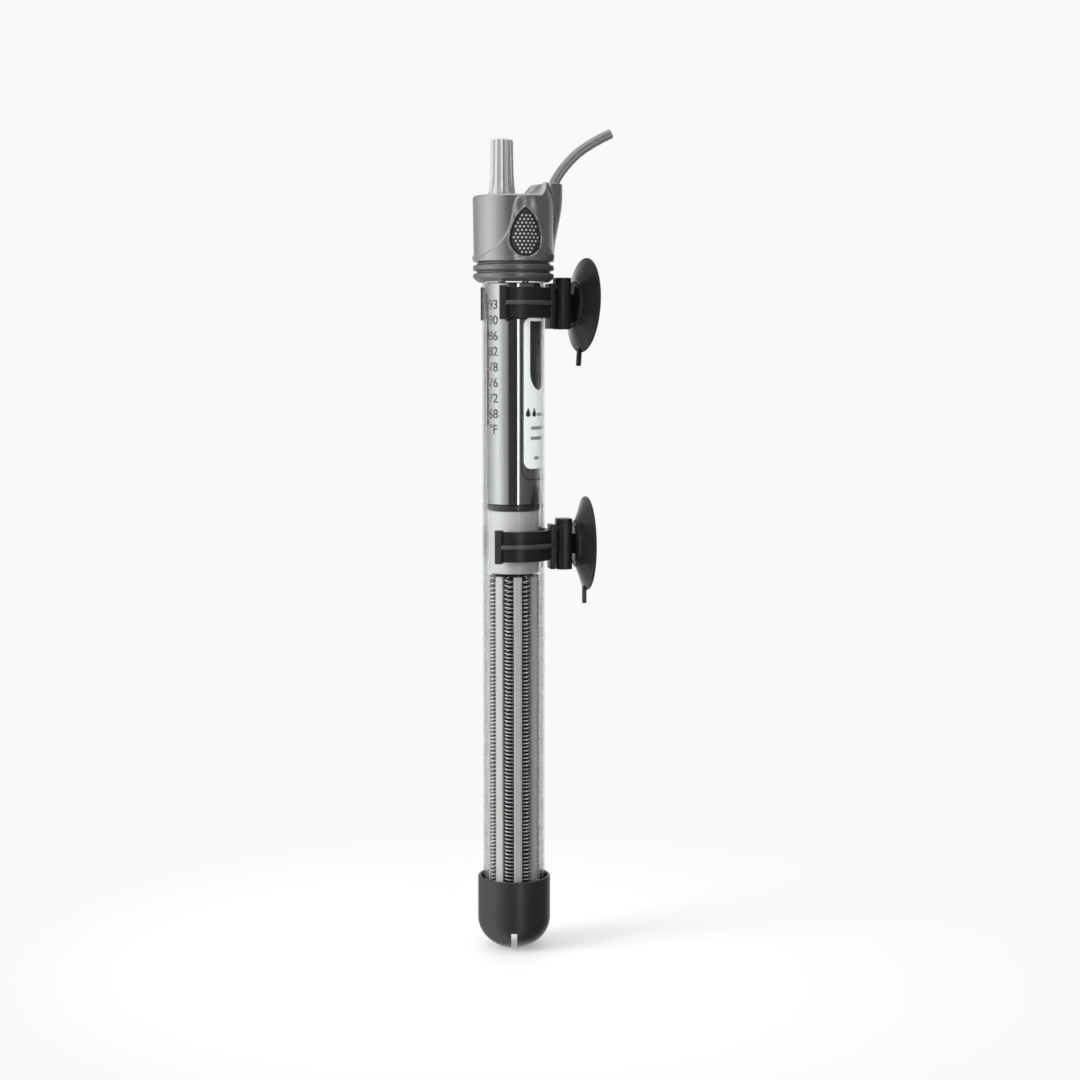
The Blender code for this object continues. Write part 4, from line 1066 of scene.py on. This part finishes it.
def clip_shape():
    """A clip about the axis: C-band, end lips, ribbed back plate and the channel for the cup."""
    band_end, lip_start, lip_end = radians(126.0), radians(117.5), radians(128.5)
    band = sector(12.8, 14.8, -band_end, band_end, -6.0, 6.0, 96)
    lips = []
    for side in (-1, 1):
        ends = sorted((side * lip_start, side * lip_end))
        lips.append(sector(13.1, 15.9, *ends, -6.6, 6.6, 8))
    plate = block((14.3, -3.6, -10.0), (16.4, 3.6, 7.9))
    web = block((16.0, -2.0, -3.0), (17.6, 2.0, 3.0))
    bridge = block((16.0, -3.0, 5.6), (17.6, 3.0, 7.7))
    ribs = [block((16.2, -3.0, z), (16.75, 3.0, z + 0.5)) for z in (3.6, 4.5, -4.4, -5.3, -6.2, -7.1, -8.0)]
    return merged(band, *lips, plate, web, bridge, *ribs, *barrel_shapes())


def barrel_shapes():
    """The upright channel: a C-shaped wall that is open at the bottom, and its roof."""
    half_depth, half_width, corner = 3.2, 4.0, 2.5
    bore, slot_half = 2.6, 1.5
    height, roof = 10.2, 1.5
    mouth = BARREL_X + half_depth
    closed = rounded_box(BARREL_X - half_depth, mouth, -half_width, half_width, corner, 1.0)
    opened = [(mouth, slot_half)]
    opened += [(x, y) for x, y in closed if x <= mouth - 0.01 or abs(y) >= slot_half]
    opened.append((mouth, -slot_half))
    edge = asin(slot_half / bore)
    opened += ellipse(BARREL_X, 0.0, bore, bore, -edge, 2 * edge - tau, 32)
    return extruded(opened, -height, height - roof), extruded(closed, height - roof - 0.01, height)


def cup_shape():
    """A cup about its upright shank, facing +X: ringed hub, thin cone, flat rim and a pull tab."""
    face, back, rim_r, hub_r = CUP_FACE, 4.2, 18.9, 9.3
    outline = [
        (0.0, back), (hub_r - 2.2, back), (hub_r - 1.8, back + 0.35), (hub_r - 1.2, back + 0.35),
        (hub_r - 0.8, back), (hub_r, back + 0.1), (hub_r + 0.7, back + 1.1), (13.8, back + 2.75),
        (rim_r - 1.0, face - 1.15), (rim_r, face - 0.95), (rim_r, face - 0.25), (rim_r - 0.3, face),
        (rim_r - 1.4, face), (14.4, face - 1.25), (hub_r + 1.5, face - 2.6), (hub_r - 2.5, face - 3.9),
        (0.0, face - 4.2),
    ]
    flip = Matrix(((0.0, 0.0, 1.0), (0.0, 1.0, 0.0), (-1.0, 0.0, 0.0)))
    shell = turned_shape(lathe(softened(outline, 0.5), 144), flip)
    shank = lathe(softened(post(1.9, -6.0, 6.0), 0.5), 40)
    neck = block((0.0, -0.8, -4.0), (back + 1.0, 0.8, 4.0))
    return merged(shell, shank, neck, tab_shape())


def tab_shape():
    """The pull tab below the rim, with a round end."""
    top, low, half, tip_half = -17.4, -24.3, 1.0, 0.15
    near, far = CUP_FACE - 1.9, CUP_FACE - 0.4
    middle = (near + far) / 2
    widths = [(half, top), *ellipse(tip_half, low + half, half - tip_half, -half, 0.0, pi / 2, 6)]
    rows = [[(near, -w, z), (far, -w, z), (far, w, z), (near, w, z)] for w, z in widths]
    return skin(rows, (middle, 0.0, top), (middle, 0.0, low))


def clips_and_cups():
    for name, z, turn, droop in CLIPS:
        spot = Matrix.Translation((0.0, 0.0, z)) @ Matrix.Rotation(turn, 4, "Z")
        clip = mesh_object(f"{name}_c_clip", turned_shape(clip_shape(), spot), "clip_plastic")
        bevelled(clip, 0.3)
        # The rib's finish is a painted highlight: a lighter copy of the clip's plastic.
        rib = sector(14.6, 16.0, -radians(118.5), radians(118.5), -0.85, 0.85, 96)
        rib = mesh_object(f"{name}_clip_rib", turned_shape(rib, spot), "rib_plastic_painted_highlight")
        body = f"{name}_clip_body"
        finished(bevelled(rib, 0.35), crease=35.0, body=body)
        finished(clip, [f"{name}_clip"], crease=35.0, body=body)
        hang = spot @ Matrix.Translation((BARREL_X, 0.0, 0.0)) @ Matrix.Rotation(droop, 4, "Y")
        cup = mesh_object(f"{name}_rubber_cup", turned_shape(cup_shape(), hang), "cup_rubber")
        finished(cup, [f"{name}_suction_cup"], crease=40.0, body=f"{name}_cup")


# Stage, light and camera


VIEW_AZIMUTH = radians(-18.0)
TOWARDS_CAMERA = Vector((sin(VIEW_AZIMUTH), -cos(VIEW_AZIMUTH), 0.0))
TO_THE_RIGHT = Vector((cos(VIEW_AZIMUTH), sin(VIEW_AZIMUTH), 0.0))
CAMERA_DISTANCE = 0.820
CAMERA_HEIGHT = 0.236
AIM_HEIGHT = 0.1651
AIM_RIGHT = 0.0105
LENS = 68.6
BACKGROUND = (0.935, 0.945, 0.955)

# What the object reflects: levels by the angle from the camera towards the right, in degrees

STUDIO_STRENGTH = 2.9
STUDIO = (
    (-180.0, 0.95), (-162.0, 0.60), (-135.0, 0.38), (-114.0, 0.76), (-90.0, 1.08), (-72.0, 1.30),
    (-59.0, 1.05), (-44.0, 0.65), (-28.0, 0.42), (-19.0, 0.06), (16.0, 0.04), (18.0, 2.90),
    (22.5, 2.90), (24.5, 0.18), (60.0, 0.11), (120.0, 0.10), (150.0, 0.60), (165.0, 0.95),
    (180.0, 0.95),
)


def straight_sight(tree):
    """1 for rays that the camera sees directly or through glass, 0 for those that bounced off something."""
    rays = add(tree, "LightPath").outputs
    return maths(tree, "LESS_THAN", maths(tree, "ADD", rays["Diffuse Depth"], rays["Glossy Depth"]), 0.5)


def studio_world():
    """A pale backdrop to the camera and through glass; softboxes and dark flags to every other ray."""
    world = bpy.data.worlds.new("studio")
    bpy.context.scene.world = world
    world.use_nodes = True
    world.cycles.sampling_method = "NONE"
    tree = world.node_tree
    place = add(tree, "TexCoord").outputs["Generated"]

    def dot_with(direction):
        inputs = {0: place, 1: direction}
        return add(tree, "VectorMath", inputs, operation="DOT_PRODUCT").outputs["Value"]

    azimuth = maths(tree, "ARCTAN2", dot_with(TO_THE_RIGHT), dot_with(TOWARDS_CAMERA))
    turn = maths(tree, "ADD", maths(tree, "DIVIDE", azimuth, tau), 0.5)
    stops = [(degrees / 360.0 + 0.5, (level / STUDIO_STRENGTH,) * 3) for degrees, level in STUDIO]
    high = remap(tree, dot_with(UP), 0.0, 1.0, 0.55, 0.85)
    levels = {0: high, 6: ramp(tree, turn, stops), 7: (0.45, 0.45, 0.45, 1.0)}
    ceiling = add(tree, "Mix", levels, data_type="RGBA").outputs[2]
    studio = add(tree, "Background", {"Strength": STUDIO_STRENGTH, "Color": ceiling})
    backdrop = add(tree, "Background", {"Color": (*BACKGROUND, 1.0)})
    shown(tree, mixed(tree, straight_sight(tree), studio, backdrop), "World Output")


def studio_floor():
    """A pale floor that fades into the backdrop, so that no edge shows."""
    reach, z = 4.0, -0.2 * MM
    data = bpy.data.meshes.new("floor")
    corners = ((-reach, -reach, z), (reach, -reach, z), (reach, reach, z), (-reach, reach, z))
    data.from_pydata(corners, [], [(0, 1, 2, 3)])
    floor = linked("floor", data)
    made, tree, shader = new_tree("floor")
    place = add(tree, "TexCoord").outputs["Object"]
    length = add(tree, "VectorMath", {0: place}, operation="LENGTH").outputs["Value"]
    fade = remap(tree, length, 0.35, 1.0, 0.03, 0.22)
    feed(tree, shader, {"Base Color": (0.86, 0.865, 0.87, 1.0), "Roughness": 0.6})
    seen = mixed(tree, fade, shader, add(tree, "Emission", {"Color": (*BACKGROUND, 1.0)}))
    through = add(tree, "BsdfTransparent")
    shown(tree, mixed(tree, straight_sight(tree), through, seen))
    data.materials.append(made)


def aim(obj, place, target):
    obj.location = place
    obj.rotation_euler = (target - place).to_track_quat("-Z", "Y").to_euler()


def area_light(name, place, target, size, power):
    data = bpy.data.lights.new(name, "AREA")
    data.shape = "RECTANGLE"
    data.size, data.size_y = size
    data.energy = power
    light = linked(name, data)
    aim(light, place, target)
    light.visible_glossy = False
    light.visible_transmission = False


def studio():
    bpy.context.scene.view_settings.view_transform = "Standard"
    studio_world()
    studio_floor()
    middle = at(0.0, 0.0, 160.0)
    key_place = middle - TO_THE_RIGHT * 0.75 + TOWARDS_CAMERA * 0.35 + UP * 0.25
    area_light("key", key_place, middle, (0.45, 0.70), 8.8)
    fill_place = middle + TOWARDS_CAMERA * 0.95 + TO_THE_RIGHT * 0.25 + UP * 0.15
    area_light("fill", fill_place, middle, (0.50, 0.70), 3.0)
    camera_data = bpy.data.cameras.new("camera")
    camera_data.lens = LENS
    camera = linked("camera", camera_data)
    place = AXIS + TOWARDS_CAMERA * CAMERA_DISTANCE + UP * CAMERA_HEIGHT
    aim(camera, place, AXIS + TO_THE_RIGHT * AIM_RIGHT + UP * AIM_HEIGHT)
    bpy.context.scene.camera = camera


for finish, nodes in KEPT_NODES.items():
    for node in nodes:
        for material_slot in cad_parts[node].material_slots:
            material_slot.material = FINISH[finish]

glass_tube()
foot_guard()
ceramic_core()
heating_coil()
insulator_plug()
sleeve_end_ring()
scale_sleeve()
scale_figures()
rating_label()
ribbed_collar()
head_body()
grip_inlays()
adjusting_knob()
threaded_spindle()
power_cord()
clips_and_cups()
studio()
